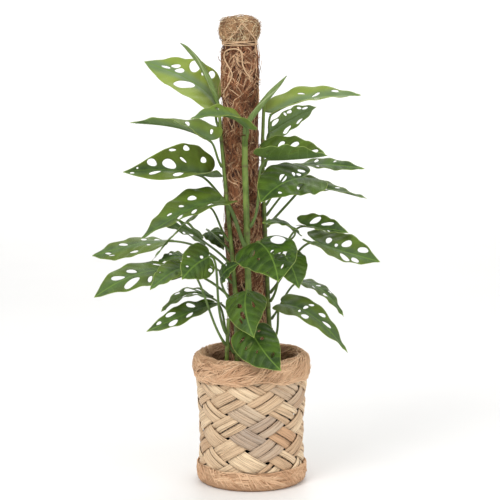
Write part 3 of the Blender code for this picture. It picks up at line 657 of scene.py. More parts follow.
def scatter_tree(litter: Litter) -> NodeTree:
    """Builds the tree that scatters fibres or crumbs over a piece's faces with a fixed seed.

    Args:
        litter: What it scatters.

    Returns:
        The tree, with named inputs for the density, the sizes, the lay and the finish.
    """
    floats = (("Least size", 0.02), ("Most size", 0.05), ("Thickness", 0.0004), ("Spread", 0.8), ("Hug", 0.2),
              ("Stray", 0.004), ("Rise", 0.0), ("Least tone", 0.0), ("Most tone", 1.0))
    group = Group(litter.value, "GeometryNodeTree",
                  (("Carrier", "Geometry"), ("Density", "Float", 10000.0), ("Seed", "Int", 1),
                   *((label, "Float", value) for label, value in floats), ("Finish", "Material")),
                  (("Pieces", "Geometry"),))
    given = group.given
    spots = group.node("GeometryNodeDistributePointsOnFaces",
                       {"Mesh": given["Carrier"], "Density": given["Density"], "Seed": given["Seed"]})
    normal = spots.outputs["Normal"]
    turn = group.chance(group.times(given["Spread"], -1.0), given["Spread"], 5)
    # The first turn stands the item's Z along the carrier's normal, the second keeps its X near upright.
    upright = group.result("FunctionNodeAlignRotationToVector", {"Vector": normal}, axis="Z")
    lying = group.result("FunctionNodeAlignRotationToVector", {"Rotation": upright, "Vector": (0.0, 0.0, 1.0)},
                         axis="X", pivot_axis="Z")
    spin = group.result("FunctionNodeAxisAngleToRotation", {"Axis": (0.0, 0.0, 1.0), "Angle": turn})
    final = group.result("FunctionNodeRotateRotation", {0: lying, 1: spin}, rotation_space="LOCAL")
    if litter is Litter.CRUMBS:
        item = group.result("GeometryNodeMeshIcoSphere", {"Radius": 1.0, "Subdivisions": 1})
    else:
        item = fibre_item(group)
    lift = group.scaled(normal, group.chance(0.0001, given["Rise"], 11))
    placed = group.result("GeometryNodeInstanceOnPoints", {
        "Points": group.noted(spots.outputs["Points"], "lift", lift, "FLOAT_VECTOR", "POINT"), "Instance": item,
        "Rotation": final, "Scale": group.chance(given["Least size"], given["Most size"], 0)})
    tone = group.chance(given["Least tone"], given["Most tone"], 9)
    toned = group.noted(placed, "tone", tone, "FLOAT", "INSTANCE")
    solid = group.result("GeometryNodeRealizeInstances", {0: toned})
    here = group.result("GeometryNodeInputPosition")
    jitter = group.noise(here, 420.0 if litter is Litter.CRUMBS else 38.0, output="Color")
    push = group.scaled(group.vectors("SUBTRACT", jitter, (0.5, 0.5, 0.5)), given["Stray"])
    moved = group.result("GeometryNodeSetPosition", {"Geometry": solid, "Offset": push})
    return group.solid(moved if litter is Litter.CRUMBS else laid_back(group, moved, here))


def grow(obj: Object, tree: NodeTree, settings: dict[str, object]) -> Object:
    """Runs a growth tree on a carrier and keeps the result as a plain piece.

    Args:
        obj: The carrier, which is used up.
        tree: The growth tree.
        settings: The tree's inputs by name.

    Returns:
        The plain piece, under the carrier's name.
    """
    modifier = obj.modifiers.new("growth", "NODES")
    modifier.node_group = tree
    for socket in tree.interface.items_tree:
        if socket.in_out == "INPUT" and socket.name in settings:
            modifier[socket.identifier] = settings[socket.name]
    graph = bpy.context.evaluated_depsgraph_get()
    graph.update()
    mesh = bpy.data.meshes.new_from_object(obj.evaluated_get(graph), preserve_all_data_layers=True,
                                           depsgraph=graph)
    obj.modifiers.remove(modifier)
    carrier, name = obj.data, obj.name
    soften(mesh)
    made = linked(name + "_grown", mesh)
    bpy.data.objects.remove(obj)
    bpy.data.meshes.remove(carrier)
    made.name = mesh.name = name
    return made


# Finishes


@dataclass(frozen=True)
class Tools:
    """The groups that more than one finish uses."""

    streaks: NodeTree
    mottle: NodeTree
    veins: NodeTree


class Coat(Wiring):
    """A material that is being built."""

    def __init__(self, name: str) -> None:
        """Starts the material.

        Args:
            name: Its name.
        """
        self.material = bpy.data.materials.new(name)
        self.material.use_nodes = True
        super().__init__(self.material.node_tree)
        self.shader = self.tree.nodes["Principled BSDF"]

    def value(self, name: str, output: str = "Fac") -> NodeSocket:
        """The piece's own attribute of that name, as a number or, from the Vector output, a vector."""
        return self.node("ShaderNodeAttribute", attribute_name=name).outputs[output]

    def place(self) -> NodeSocket:
        """Where the point is on the piece, in metres."""
        return self.node("ShaderNodeTexCoord").outputs["Object"]

    def effect(self, tree: NodeTree, **inputs: object) -> bpy.types.bpy_prop_collection:
        """The results of a shared effect with the given inputs."""
        return self.node("ShaderNodeGroup", inputs, node_tree=tree).outputs

    def blend(self, share: object, first: object, second: object, mode: str = "MIX") -> NodeSocket:
        """A colour between two colours.

        Args:
            share: How much of the second, a number or a socket.
            first: The first colour or its socket.
            second: The second colour or its socket.
            mode: How they are blended.

        Returns:
            The colour's socket.
        """
        first, second = ((*c, 1.0) if isinstance(c, tuple) else c for c in (first, second))
        return self.node("ShaderNodeMix", {0: share, 6: first, 7: second}, data_type="RGBA",
                         blend_type=mode).outputs[2]

    def layered(self, base: object, *layers: tuple[object, float, Colour]) -> NodeSocket:
        """Lays colours over a colour.

        Args:
            base: The lowest colour or its socket.
            *layers: For each colour where it lies, how much of it shows there, and the colour.

        Returns:
            The colour's socket.
        """
        for where, most, colour in layers:
            base = self.blend(self.times(where, most), base, colour)
        return base

    def worn(self, colour: object, grain: object, rough: tuple[float, float], height: object, depth: float,
             strength: float) -> Material:
        """Feeds the shader and ends the material.

        Args:
            colour: Its colour.
            grain: The number that its roughness follows.
            rough: The roughness where that number is 0 and where it is 1.
            height: The height of its bumps.
            depth: How deep a full bump is, in metres.
            strength: How much of the bumps shows.

        Returns:
            The material.
        """
        bump = self.result("ShaderNodeBump", {"Strength": strength, "Distance": depth, "Height": height})
        for name, value in (("Base Color", colour), ("Roughness", self.mapped(grain, 0.0, 1.0, *rough)),
                            ("Normal", bump)):
            self.feed(self.shader.inputs[name], value)
        return self.material


@dataclass(frozen=True)
class LeafFinish:
    """Leaf skin: green between paler veins, with a thin light margin and a painted grey-green sheen."""

    name: str
    deep: Colour
    mid: Colour
    fresh: Colour
    vein: Colour
    margin: Colour
    gloss: float
    vein_share: float = 0.4
    sheen: float = 0.35
    sheen_grey: Colour = (0.18, 0.26, 0.115)

    def material(self, tools: Tools) -> Material:
        """Builds the finish.

        Args:
            tools: The shared groups.

        Returns:
            The material.
        """
        coat = Coat(self.name)
        place, middle = coat.place(), coat.value("middle")
        mottle = coat.effect(tools.mottle, Place=place, Scale=45.0)
        veins = coat.effect(tools.veins, Ribs=coat.value("ribs"), Place=place)
        tone = coat.mixed((mottle["Large"], 0.65), (veins["Swell"], 0.18), (mottle["Small"], 0.17))
        old = coat.blend(coat.mapped(tone, 0.0, 0.95), self.mid, self.deep)
        # Young leaves turn towards a grey-green near the midrib: a painted sheen.
        fresh = coat.blend(coat.mapped(middle, 17.0, 4.0), self.fresh, self.sheen_grey)
        aged = coat.blend(coat.value("young"), old, fresh)
        # Soft random patches are blended towards the same painted sheen grey.
        sheen_patches = coat.mapped(coat.noise(place, 16.0), 0.45, 0.7, 0.0, 0.4)
        colour = coat.layered(
            coat.blend(sheen_patches, aged, self.sheen_grey, "SOFT_LIGHT"),
            (veins["Vein"], self.vein_share, self.vein), (veins["Net"], 0.12, self.vein),
            (coat.mapped(middle, 1.5, 0.5), 0.75, self.vein),
            (coat.mapped(coat.value("edge"), 1.1, 0.35), 0.8, self.margin))
        height = coat.mixed((veins["Swell"], 0.7), (veins["Net"], -0.12), (mottle["Small"], 0.15))
        coat.shader.inputs["Specular IOR Level"].default_value = self.sheen
        return coat.worn(colour, mottle["Small"], (self.gloss - 0.05, self.gloss + 0.12), height, 0.0008, 0.7)


@dataclass(frozen=True)
class StreakFinish:
    """Dried strips, strands and fibres with streaks along them, and painted shade where they lie under others.
    """

    name: str
    light: Colour
    dark: Colour
    line: Colour
    grey: Colour
    red: Colour
    roughness: float
    depth: float
    line_share: float = 0.6

    def material(self, tools: Tools) -> Material:
        """Builds the finish.

        Args:
            tools: The shared groups.

        Returns:
            The material.
        """
        coat = Coat(self.name)
        streaks = coat.effect(tools.streaks, Run=coat.value("run", "Vector"))
        fine, broad = streaks["Fine"], streaks["Broad"]
        # The last layer darkens towards the line colour: painted shade where a strip runs under another, on the
        # bands' inner and lower sides and on the basket floor, and the cane's own dark joint lines.
        colour = coat.layered(
            self.light, (coat.value("tone"), 1.0, self.dark), (coat.value("grey"), 1.0, self.grey),
            (coat.value("red"), 1.0, self.red), (broad, 0.35, self.dark),
            (coat.mapped(fine, 0.55, 1.0), self.line_share, self.line), (streaks["Speck"], 0.35, self.line),
            (coat.value("hidden"), 0.8, self.line))
        return coat.worn(colour, fine, (self.roughness - 0.1, self.roughness + 0.1),
                         coat.math("SUBTRACT", broad, fine), self.depth, 0.7)


@dataclass(frozen=True)
class FuzzFinish:
    """Matted fibre: each fibre has its own tone, with small blotches over all of it."""

    name: str
    dark: Colour
    light: Colour
    pale: Colour
    scale: float
    roughness: float

    def material(self, tools: Tools) -> Material:
        """Builds the finish.

        Args:
            tools: The shared groups.

        Returns:
            The material.
        """
        coat = Coat(self.name)
        mottle = coat.effect(tools.mottle, Place=coat.place(), Scale=self.scale)
        tone, small = coat.value("tone"), mottle["Small"]
        colour = coat.layered(self.dark, (coat.mixed((tone, 0.65), (mottle["Large"], 0.35)), 1.0, self.light),
                              (coat.mapped(tone, 0.62, 0.95), 1.0, self.pale), (small, 0.25, self.dark))
        return coat.worn(colour, small, (self.roughness - 0.12, self.roughness), small, 0.0008, 0.8)


@dataclass(frozen=True)
class StemFinish:
    """Green vine skin with pale lengthwise lines, brown scars at the knots and a woody foot."""

    name: str
    green: Colour
    pale: Colour
    scar: Colour
    roughness: float

    def material(self, tools: Tools) -> Material:
        """Builds the finish.

        Args:
            tools: The shared groups.

        Returns:
            The material.
        """
        coat = Coat(self.name)
        mottle = coat.effect(tools.mottle, Place=coat.place(), Scale=70.0)
        fine = coat.effect(tools.streaks, Run=coat.value("run", "Vector"))["Fine"]
        small = mottle["Small"]
        colour = coat.layered(
            self.green, (mottle["Large"], 1.0, self.pale), (fine, 0.35, self.pale),
            (coat.value("young"), 1.0, self.pale), (coat.value("scar"), 1.0, self.scar),
            (coat.mapped(small, 0.75, 0.95), 0.35, self.scar))
        return coat.worn(colour, small, (self.roughness - 0.06, self.roughness + 0.14),
                         coat.mixed((fine, 1.0), (small, 0.5)), 0.0004, 0.5)


@dataclass(frozen=True)
class MouldedFinish:
    """Thin moulded plastic with a faint grain and dust."""

    name: str
    colour: Colour
    dust: Colour
    roughness: float
    scale: float = 900.0

    def material(self, tools: Tools) -> Material:
        """Builds the finish.

        Args:
            tools: The shared groups.

        Returns:
            The material.
        """
        coat = Coat(self.name)
        large = coat.effect(tools.mottle, Place=coat.place(), Scale=self.scale / 12)["Large"]
        colour = coat.layered(self.colour, (large, 0.3, self.dust))
        return coat.worn(colour, large, (self.roughness - 0.06, self.roughness + 0.15),
                         coat.noise(coat.place(), self.scale), 0.0002, 0.35)


FINISHES = (
    StreakFinish("straw_strips", (0.92, 0.71, 0.47), (0.62, 0.40, 0.235), (0.16, 0.08, 0.038),
                 (0.43, 0.35, 0.29), (0.64, 0.37, 0.20), 0.6, 0.0009, 0.7),
    StreakFinish("band_fibre", (0.88, 0.62, 0.40), (0.55, 0.31, 0.17), (0.24, 0.12, 0.055), (0.4, 0.3, 0.2),
                 (0.5, 0.25, 0.12), 0.8, 0.0006, 0.4),
    MouldedFinish("pot_plastic", (0.014, 0.014, 0.015), (0.05, 0.045, 0.04), 0.45),
    FuzzFinish("earth", (0.016, 0.010, 0.007), (0.055, 0.034, 0.021), (0.14, 0.10, 0.07), 90.0, 0.95),
    FuzzFinish("bark", (0.05, 0.026, 0.014), (0.13, 0.07, 0.038), (0.2, 0.13, 0.08), 120.0, 0.9),
    FuzzFinish("coir", (0.05, 0.018, 0.010), (0.60, 0.24, 0.10), (0.98, 0.66, 0.40), 55.0, 0.9),
    FuzzFinish("coir_cap", (0.12, 0.045, 0.018), (0.92, 0.56, 0.29), (1.0, 0.83, 0.53), 60.0, 0.9),
    StreakFinish("twine", (0.90, 0.66, 0.43), (0.66, 0.42, 0.24), (0.34, 0.19, 0.09), (0.4, 0.3, 0.2),
                 (0.5, 0.3, 0.2), 0.75, 0.0003),
    StreakFinish("cane_bark", (0.20, 0.11, 0.055), (0.10, 0.05, 0.025), (0.04, 0.02, 0.012),
                 (0.15, 0.12, 0.1), (0.2, 0.1, 0.05), 0.5, 0.0003),
    StemFinish("vine_skin", (0.075, 0.13, 0.018), (0.20, 0.29, 0.055), (0.13, 0.09, 0.04), 0.45),
    StemFinish("stalk_skin", (0.04, 0.085, 0.013), (0.13, 0.21, 0.04), (0.12, 0.09, 0.04), 0.42),
    LeafFinish("leaf_upper", (0.016, 0.044, 0.003), (0.059, 0.123, 0.008), (0.26, 0.34, 0.055),
               (0.15, 0.26, 0.04), (0.34, 0.43, 0.10), 0.42, 0.22, 0.24),
    LeafFinish("leaf_lower", (0.066, 0.125, 0.026), (0.105, 0.185, 0.038), (0.22, 0.32, 0.055),
               (0.21, 0.32, 0.09), (0.36, 0.45, 0.13), 0.5, 0.4, 0.25),
    LeafFinish("young_leaf", (0.075, 0.125, 0.03), (0.13, 0.195, 0.05), (0.16, 0.235, 0.06),
               (0.36, 0.46, 0.22), (0.40, 0.48, 0.24), 0.4, 0.6),
)


# Leaves


@dataclass(frozen=True)
class LeafPlan:
    """Where one leaf is and how it bends.

    Its fields are the foot and the tip of the blade, the direction that its upper side faces, its
    width, the rise of its middle, the fold and the curl of its halves, its twist and sway, the
    vine and height that the stalk leaves from, the stalk's radius and how far the lobes reach back.
    Each opening is its place in hundredths along the midrib and across to one side, its length and
    width, and its lean in degrees.
    """

    name: str
    base: Point
    tip: Point
    up: Point
    width: float
    arch: float
    fold: float
    curl: float
    twist: float
    sway: float
    stem: str
    root_z: float
    stalk: float
    lobe: float
    openings: tuple[tuple[int, int, int, int, int], ...]


LEAVES = (
    LeafPlan("leaf_01", (-56, 14, 590), (-165, 32, 649), (0.31, -0.57, 0.76), 90, 16, 4, -11, -28, 5,
         "left", 555, 1.7, 0.3, ((40, 34, 36, 16, 40), (19, -78, 15, 11, 80), (29, -55, 6, 4, -70),
            (42, -59, 21, 17, -85), (55, -16, 15, 8, 25), (62, -28, 15, 7, 25), (72, -9, 15, 4, 5))),
    LeafPlan("leaf_02", (-63, -34, 534), (-187, 10, 557), (0.13, -0.14, 0.98), 56, 7, 34, 11, 43, -9,
         "left", 494, 1.6, 0.3, ((22, 50, 16, 7, 50), (42, 48, 14, 6, 45), (6, -50, 12, 4, -60),
            (36, -50, 14, 6, -50), (56, -42, 10, 4, -45))),
    LeafPlan("leaf_03", (-8, -58, 556), (-91, -97, 573), (0.26, -0.14, 0.96), 54, 13, 24, 8, -21, 0,
         "front", 529, 2.2, 0.3, ((30, 50, 12, 5, 50), (52, -45, 8, 4, -45))),
    LeafPlan("leaf_04", (33, 12, 572), (170, 53, 596), (-0.09, -0.27, 0.96), 62, 11, 22, 7, 25, 0,
         "right", 519, 1.7, 0.3, ((36, 45, 11, 3, -25), (50, 18, 15, 4, 20), (72, 29, 13, 5, 10),
            (24, -50, 18, 7, -50), (46, -50, 14, 6, -50))),
    LeafPlan("leaf_05", (30, 36, 542), (102, 65, 577), (-0.53, 0.58, 0.62), 60, 1, -2, 3, -25, -3,
         "right", 491, 1.6, 0.3, ((33, 66, 18, 10, -25), (61, 46, 13, 5, -25), (10, -60, 18, 11, -70),
            (33, -64, 13, 3, 70), (42, -62, 12, 7, 55), (63, -45, 9, 4, 40), (75, -24, 11, 5, 20))),
    LeafPlan("leaf_06", (28, -24, 505), (114, -67, 515), (-0.14, -0.06, 0.99), 92, -2, 42, 5, -16, 4,
         "front", 404, 1.9, 1.1, ((13, 58, 15, 8, 65), (34, 55, 18, 8, 50), (70, 25, 15, 8, 20),
            (2, -50, 16, 4, -70), (51, -45, 24, 5, -25))),
    LeafPlan("leaf_07", (75, 44, 487), (177, 56, 481), (0.05, -0.25, 0.96), 40, 4, 10, 10, 50, 0,
         "right", 431, 1.5, 0.8, ((26, 50, 10, 5, 50), (54, 42, 7, 3, 45), (24, -50, 10, 4, -50))),
    LeafPlan("leaf_08", (79, -12, 476), (13, -91, 447), (0.13, -0.44, 0.89), 92, 4, 11, 20, 6, -7,
         "right", 398, 1.8, 1.3, ((27, 53, 24, 10, 20), (66, 30, 6, 6, -5), (-6, -30, 14, 7, -10),
            (4, -14, 8, 6, -5), (11, -22, 11, 5, 60), (32, -20, 20, 10, 30))),
    LeafPlan("leaf_09", (80, 34, 460), (179, 26, 438), (0.25, -0.28, 0.93), 48, 2, 14, 10, -30, 0,
         "right", 415, 1.6, 0.5, ((28, 50, 14, 6, 50), (52, 45, 10, 4, 45), (36, -50, 12, 5, -50))),
    LeafPlan("leaf_10", (65, -30, 397), (16, -66, 413), (0, -0.25, 0.95), 42, 8, 8, 20, 0, 0,
         "right", 351, 1.5, 0.7, ((30, 48, 10, 5, 50), (36, -48, 8, 4, -50))),
    LeafPlan("leaf_11", (84, 6, 398), (149, -14, 390), (-0.03, -0.45, 0.89), 47, -1, 32, 3, 23, 3,
         "right", 326, 1.6, 1.2, ((18, 50, 19, 8, 40), (47, 33, 20, 5, 10), (56, -43, 8, 3, -45))),
    LeafPlan("leaf_12", (102, -16, 375), (196, -36, 349), (0.18, -0.36, 0.91), 80, -1, 10, -6, 39, 0,
         "right", 295, 1.7, 1.2, ((13, 38, 14, 9, 90), (27, 20, 7, 5, -90), (41, 40, 18, 12, 55),
            (69, 30, 17, 10, -5), (47, -45, 22, 12, -45), (63, -36, 14, 11, -45))),
    LeafPlan("leaf_13", (11, -66, 384), (39, -162, 340), (-0.15, -0.45, 0.88), 101, 6, -7, 14, -2, 6,
         "front", 349, 2.2, 0.7, ((7, 55, 32, 22, -30), (38, 11, 11, 6, -25), (50, 33, 27, 20, 90),
            (73, 25, 13, 8, -40), (73, 8, 5, 3, -10), (20, -42, 21, 8, -30), (41, -37, 7, 4, 0),
            (77, -25, 8, 3, 25))),
    LeafPlan("leaf_14", (51, -34, 358), (72, -62, 312), (0.35, -0.8, 0.48), 62, 6, 4, 10, 0, 0,
         "right", 282, 1.6, 0.8, ((30, -50, 12, 5, -50),)),
    LeafPlan("leaf_15", (79, 22, 308), (143, 5, 256), (0.58, -0.21, 0.79), 45, 10, 6, 12, 15, 2,
         "right", 254, 1.5, 0.3, ((27, 29, 10, 5, 55), (50, 48, 8, 4, 45), (22, -50, 10, 4, -50),
            (49, -35, 11, 8, 65))),
    LeafPlan("leaf_16", (49, -14, 280), (147, -52, 211), (0.33, -0.54, 0.77), 56, 16, 11, 8, -11, 1,
         "right", 219, 1.7, 0.4, ((26, 22, 9, 5, 65), (29, 60, 9, 5, 40), (47, 45, 12, 6, 20),
            (59, 15, 17, 4, 5), (23, -22, 7, 4, -75), (34, -50, 13, 11, 55))),
    LeafPlan("leaf_17", (-80, -12, 479), (-192, -89, 493), (0.47, -0.57, 0.67), 90, 3, 45, -4, -60, -5,
         "left", 442, 1.8, 1.0, ((36, 46, 26, 12, 35), (61, 18, 24, 6, 15), (89, 8, 8, 3, -5),
            (-3, -55, 12, 10, 40), (23, -80, 13, 8, -10), (24, -40, 15, 4, -20), (41, -22, 27, 13, -20),
            (41, -73, 13, 4, -5), (65, -29, 22, 11, -30), (82, -12, 5, 3, -35))),
    LeafPlan("leaf_18", (-46, -50, 445), (-167, -111, 394), (-0.18, -0.39, 0.9), 81, 13, 17, 4, 6, 5,
         "front", 374, 2.8, 0.3, ((22, 52, 18, 8, 50), (40, 50, 16, 7, 45), (56, 42, 20, 8, 40),
            (27, -47, 15, 10, 0), (43, -30, 8, 4, -40), (59, -25, 9, 4, 0))),
    LeafPlan("leaf_19", (-70, -8, 428), (-153, -28, 348), (-0.74, 0.1, 0.66), 40, 6, 4, 22, 0, 0,
         "left", 381, 1.5, 0.6, ((28, 48, 10, 4, 50), (50, 45, 8, 4, 45), (38, -48, 10, 4, -50))),
    LeafPlan("leaf_20", (-134, 50, 368), (-254, 100, 336), (-0.3, -0.12, 0.95), 82, 6, -3, 13, -46, 5,
         "left", 331, 1.6, 0.3, ((18, 30, 11, 5, -55), (34, 58, 18, 5, -20), (67, 34, 14, 2, -20),
            (74, 14, 14, 4, -25), (14, -45, 20, 10, -60), (32, -50, 20, 9, -55), (56, -21, 23, 8, -30))),
    LeafPlan("leaf_21", (-108, -10, 332), (-238, -72, 300), (-0.13, -0.23, 0.96), 88, 11, 1, 9, -37, -11,
         "left", 288, 1.8, 0.3, ((12, 45, 14, 6, 55), (24, 23, 8, 6, 75), (38, 55, 16, 7, 50),
            (58, 35, 32, 14, 10), (20, -52, 16, 8, -50), (49, -25, 17, 9, -50), (65, -20, 21, 11, -25))),
    LeafPlan("leaf_22", (-102, -74, 346), (-151, -118, 320), (-0.2, -0.55, 0.81), 46, 6, 14, 10, 0, 0,
         "low", 222, 1.6, 0.7, ((34, 48, 10, 5, 50), (52, -42, 8, 4, -45))),
    LeafPlan("leaf_23", (-64, -66, 362), (-103, -131, 338), (0.67, -0.57, 0.47), 60, 1, -8, 18, 19, -4,
         "low", 240, 1.7, 0.5, ((0, 49, 8, 3, -30), (7, 67, 14, 6, -15), (19, -15, 7, 5, -5),
            (44, -55, 5, 3, -50), (65, -22, 5, 3, -35))),
    LeafPlan("leaf_24", (-46, -40, 326), (-16, -56, 352), (0.25, -0.6, 0.76), 32, 5, 6, 10, 0, 0,
         "left", 280, 1.6, 0.6, ((42, 45, 6, 3, 50),)),
    LeafPlan("leaf_25", (-107, 36, 345), (-147, 30, 337), (-0.05, -0.35, 0.93), 34, 4, 6, 10, 0, 0,
         "left", 316, 1.4, 0.6, ((42, -45, 6, 3, -50),)),
    LeafPlan("leaf_26", (-65, 54, 383), (-43, 40, 355), (0.1, -0.5, 0.85), 36, 5, 4, 10, 0, 0,
         "left", 365, 1.5, 0.2, ((42, 45, 6, 3, 50),)),
    LeafPlan("leaf_27", (-81, 26, 377), (-149, 46, 397), (0.1, 0.55, 0.83), 56, 6, 6, 10, 0, 0,
         "left", 344, 1.6, 0.7, ((26, 50, 14, 6, 50), (50, 45, 12, 5, 45), (24, -50, 12, 6, -50),
            (42, -65, 5, 6, -5))),
    LeafPlan("leaf_28", (-64, 18, 285), (-141, 21, 261), (-0.26, 0.4, 0.88), 63, 16, 4, 6, 9, 2,
         "left", 263, 1.6, 0.4, ((16, 52, 16, 7, 55), (33, 33, 20, 15, 35), (57, 42, 11, 5, 45),
            (28, -50, 16, 7, -50), (50, -45, 12, 5, -45))),
    LeafPlan("leaf_29", (-58, -8, 279), (-161, -42, 242), (-0.25, -0.26, 0.93), 57, 4, 5, -6, -44, 4,
         "left", 206, 1.7, 0.3, ((39, 29, 17, 8, 40), (63, 30, 17, 11, 25), (28, -55, 15, 10, -55),
            (60, -40, 17, 8, -5), (80, -17, 9, 5, 15))),
    LeafPlan("leaf_30", (-7, -68, 310), (4, -131, 250), (-0.14, -0.69, 0.71), 70, 9, -15, 19, -1, -6,
         "front", 281, 1.9, 0.3, ((10, 13, 5, 4, -10), (33, 35, 14, 5, 15), (5, -52, 10, 4, 50),
            (35, -27, 11, 7, 45), (55, -16, 15, 6, 15), (64, -30, 10, 3, 15))),
    LeafPlan("leaf_31", (-2, -80, 254), (44, -143, 203), (-0.11, -0.67, 0.73), 77, 1, -14, 14, 3, -4,
         "front", 240, 1.9, 0.5, ((7, 30, 6, 4, -35), (26, 25, 8, 6, -35), (65, 20, 14, 5, -45),
            (11, -47, 12, 4, -75), (27, -37, 16, 5, -75), (45, -22, 6, 3, -50))),
)
# Leaves painted lighter than their place says, as painted light, and by how much
PAINTED_LIGHT_LIFT = {"leaf_17": 0.24}


@dataclass
class Vine:
    """A green vine with knots, aerial root stubs and a cut or growing end."""

    name: str
    path: tuple[Point, ...]
    foot_radius: float
    top_radius: float
    knots: tuple[float, ...]
    root_side: float = 20.0
    root_sides: int = 7
    sides: int = 16
    step: float = 2.5
    knot_swell: float = 1.13
    knot_reach: float = 6.0
    scar_below: float = 2.2
    scar_reach: float = 1.4
    young_from: float = 430.0
    young_over: float = 200.0
    stub_sag: Point = (0, 0, -3.5)
    stub_radius: float = 1.25

    def radius(self, z: Array | float) -> Array:
        """The plain radius at a height."""
        share = (np.asarray(z, float) - self.path[0][2]) / (self.path[-1][2] - self.path[0][2])
        return self.foot_radius + (self.top_radius - self.foot_radius) * np.clip(share, 0, 1)

    def near_knot(self, z: Array, reach: float) -> Array:
        """How near each height is to a knot, 1 on it and 0 beyond the reach."""
        gap = np.min(np.abs(z[:, None] - np.array(self.knots)), axis=1)
        return np.clip(1 - gap / reach, 0, 1)

    def build(self, skin: Material) -> None:
        """Builds the vine.

        Args:
            skin: Its finish.
        """
        rng = random.Random(self.name)
        heights = np.append(np.arange(self.path[0][2], self.path[-1][2], self.step), self.path[-1][2])
        centres = np.array([along(self.path, z) for z in heights])
        for axis in range(2):
            centres[:, axis] = np.convolve(np.pad(centres[:, axis], 3, mode="edge"), np.ones(7) / 7, "valid")
        near = self.near_knot(heights, self.knot_reach) ** 2
        ring_mark = self.near_knot(heights + self.scar_below, self.scar_reach)
        radii = self.radius(heights) * (0.97 + 0.15 * near - 0.03 * ring_mark)
        turns = circle(self.sides)
        groove = np.maximum(np.cos(turns - 1.2), 0) ** 8
        section = 1 + 0.02 * np.cos(3 * turns + rng.uniform(0, 6)) - 0.03 * groove
        shape = Shape()
        shape.add(tube(centres, radii, self.sides, section=section),
                  run=run_of(heights, turns * 6, rng.uniform(0, 9)), scar=np.maximum(ring_mark, 0.25 * near),
                  young=np.clip((heights - self.young_from) / self.young_over, 0, 0.7))
        for knot in self.knots:
            self.add_root_stub(shape, knot, rng)
        shape.finished(self.name + "_skin", [skin], self.name)

    def add_root_stub(self, shape: Shape, knot: float, rng: random.Random) -> None:
        """Adds one short aerial root below a knot.

        Args:
            shape: The vine's shape.
            knot: The knot's height.
            rng: The vine's own chance.
        """
        turn = math.radians(self.root_side + rng.uniform(-50, 50))
        out = from_front(turn, 1.0, rng.uniform(-0.3, 0.5))
        reach = rng.uniform(2.5, 6.5)
        steps = np.linspace(0, 1, 6)
        path = (along(self.path, knot - 1.5) + out * (self.radius(knot) * 0.6 + reach * steps)[:, None]
                + np.array(self.stub_sag) * (steps**2)[:, None])
        radii = self.stub_radius * (1 - 0.6 * steps) * (0.8 + 0.1 * self.radius(knot) / 3)
        shape.add(tube(path, radii, self.root_sides, (0, 0, 1)), scar=0.25 + 0.75 * steps, young=0.0,
                  run=run_of(steps * reach, np.zeros(self.root_sides), 0.0))


VINES = (
    Vine("stem_front", ((-2, -36, 96), (-2, -36, 170), (-2, -36, 200), (-4, -35, 291), (-6, -34.5, 345),
                        (-7, -34.5, 395), (-8, -35, 437), (-10, -35, 498), (-10, -36, 542)),
         5.4, 4.6, (236, 291, 345, 395, 437, 498)),
    Vine("stem_left", ((-22, -28, 96), (-22, -28, 170), (-22, -28, 200), (-25, -29, 301), (-30, -28, 364),
                       (-34.5, -26, 410), (-39, -23, 456), (-46, -16, 533), (-49, -11, 580)),
         4.2, 2.6, (200, 247, 301, 364, 410, 456, 533)),
    Vine("stem_right", ((31, 0, 96), (31, 0, 170), (30, 0, 200), (26, 3, 274), (24, 5, 329), (21, 7, 391),
                        (18, 8, 454), (17, 9, 531), (19, 9, 585)),
         4.2, 2.6, (200, 240, 274, 329, 391, 454, 531)),
    Vine("stem_low", ((-39, -28, 96), (-39, -28, 160), (-37.5, -37, 212), (-35, -42, 262)),
         3.6, 2.9, (180, 212)),
)


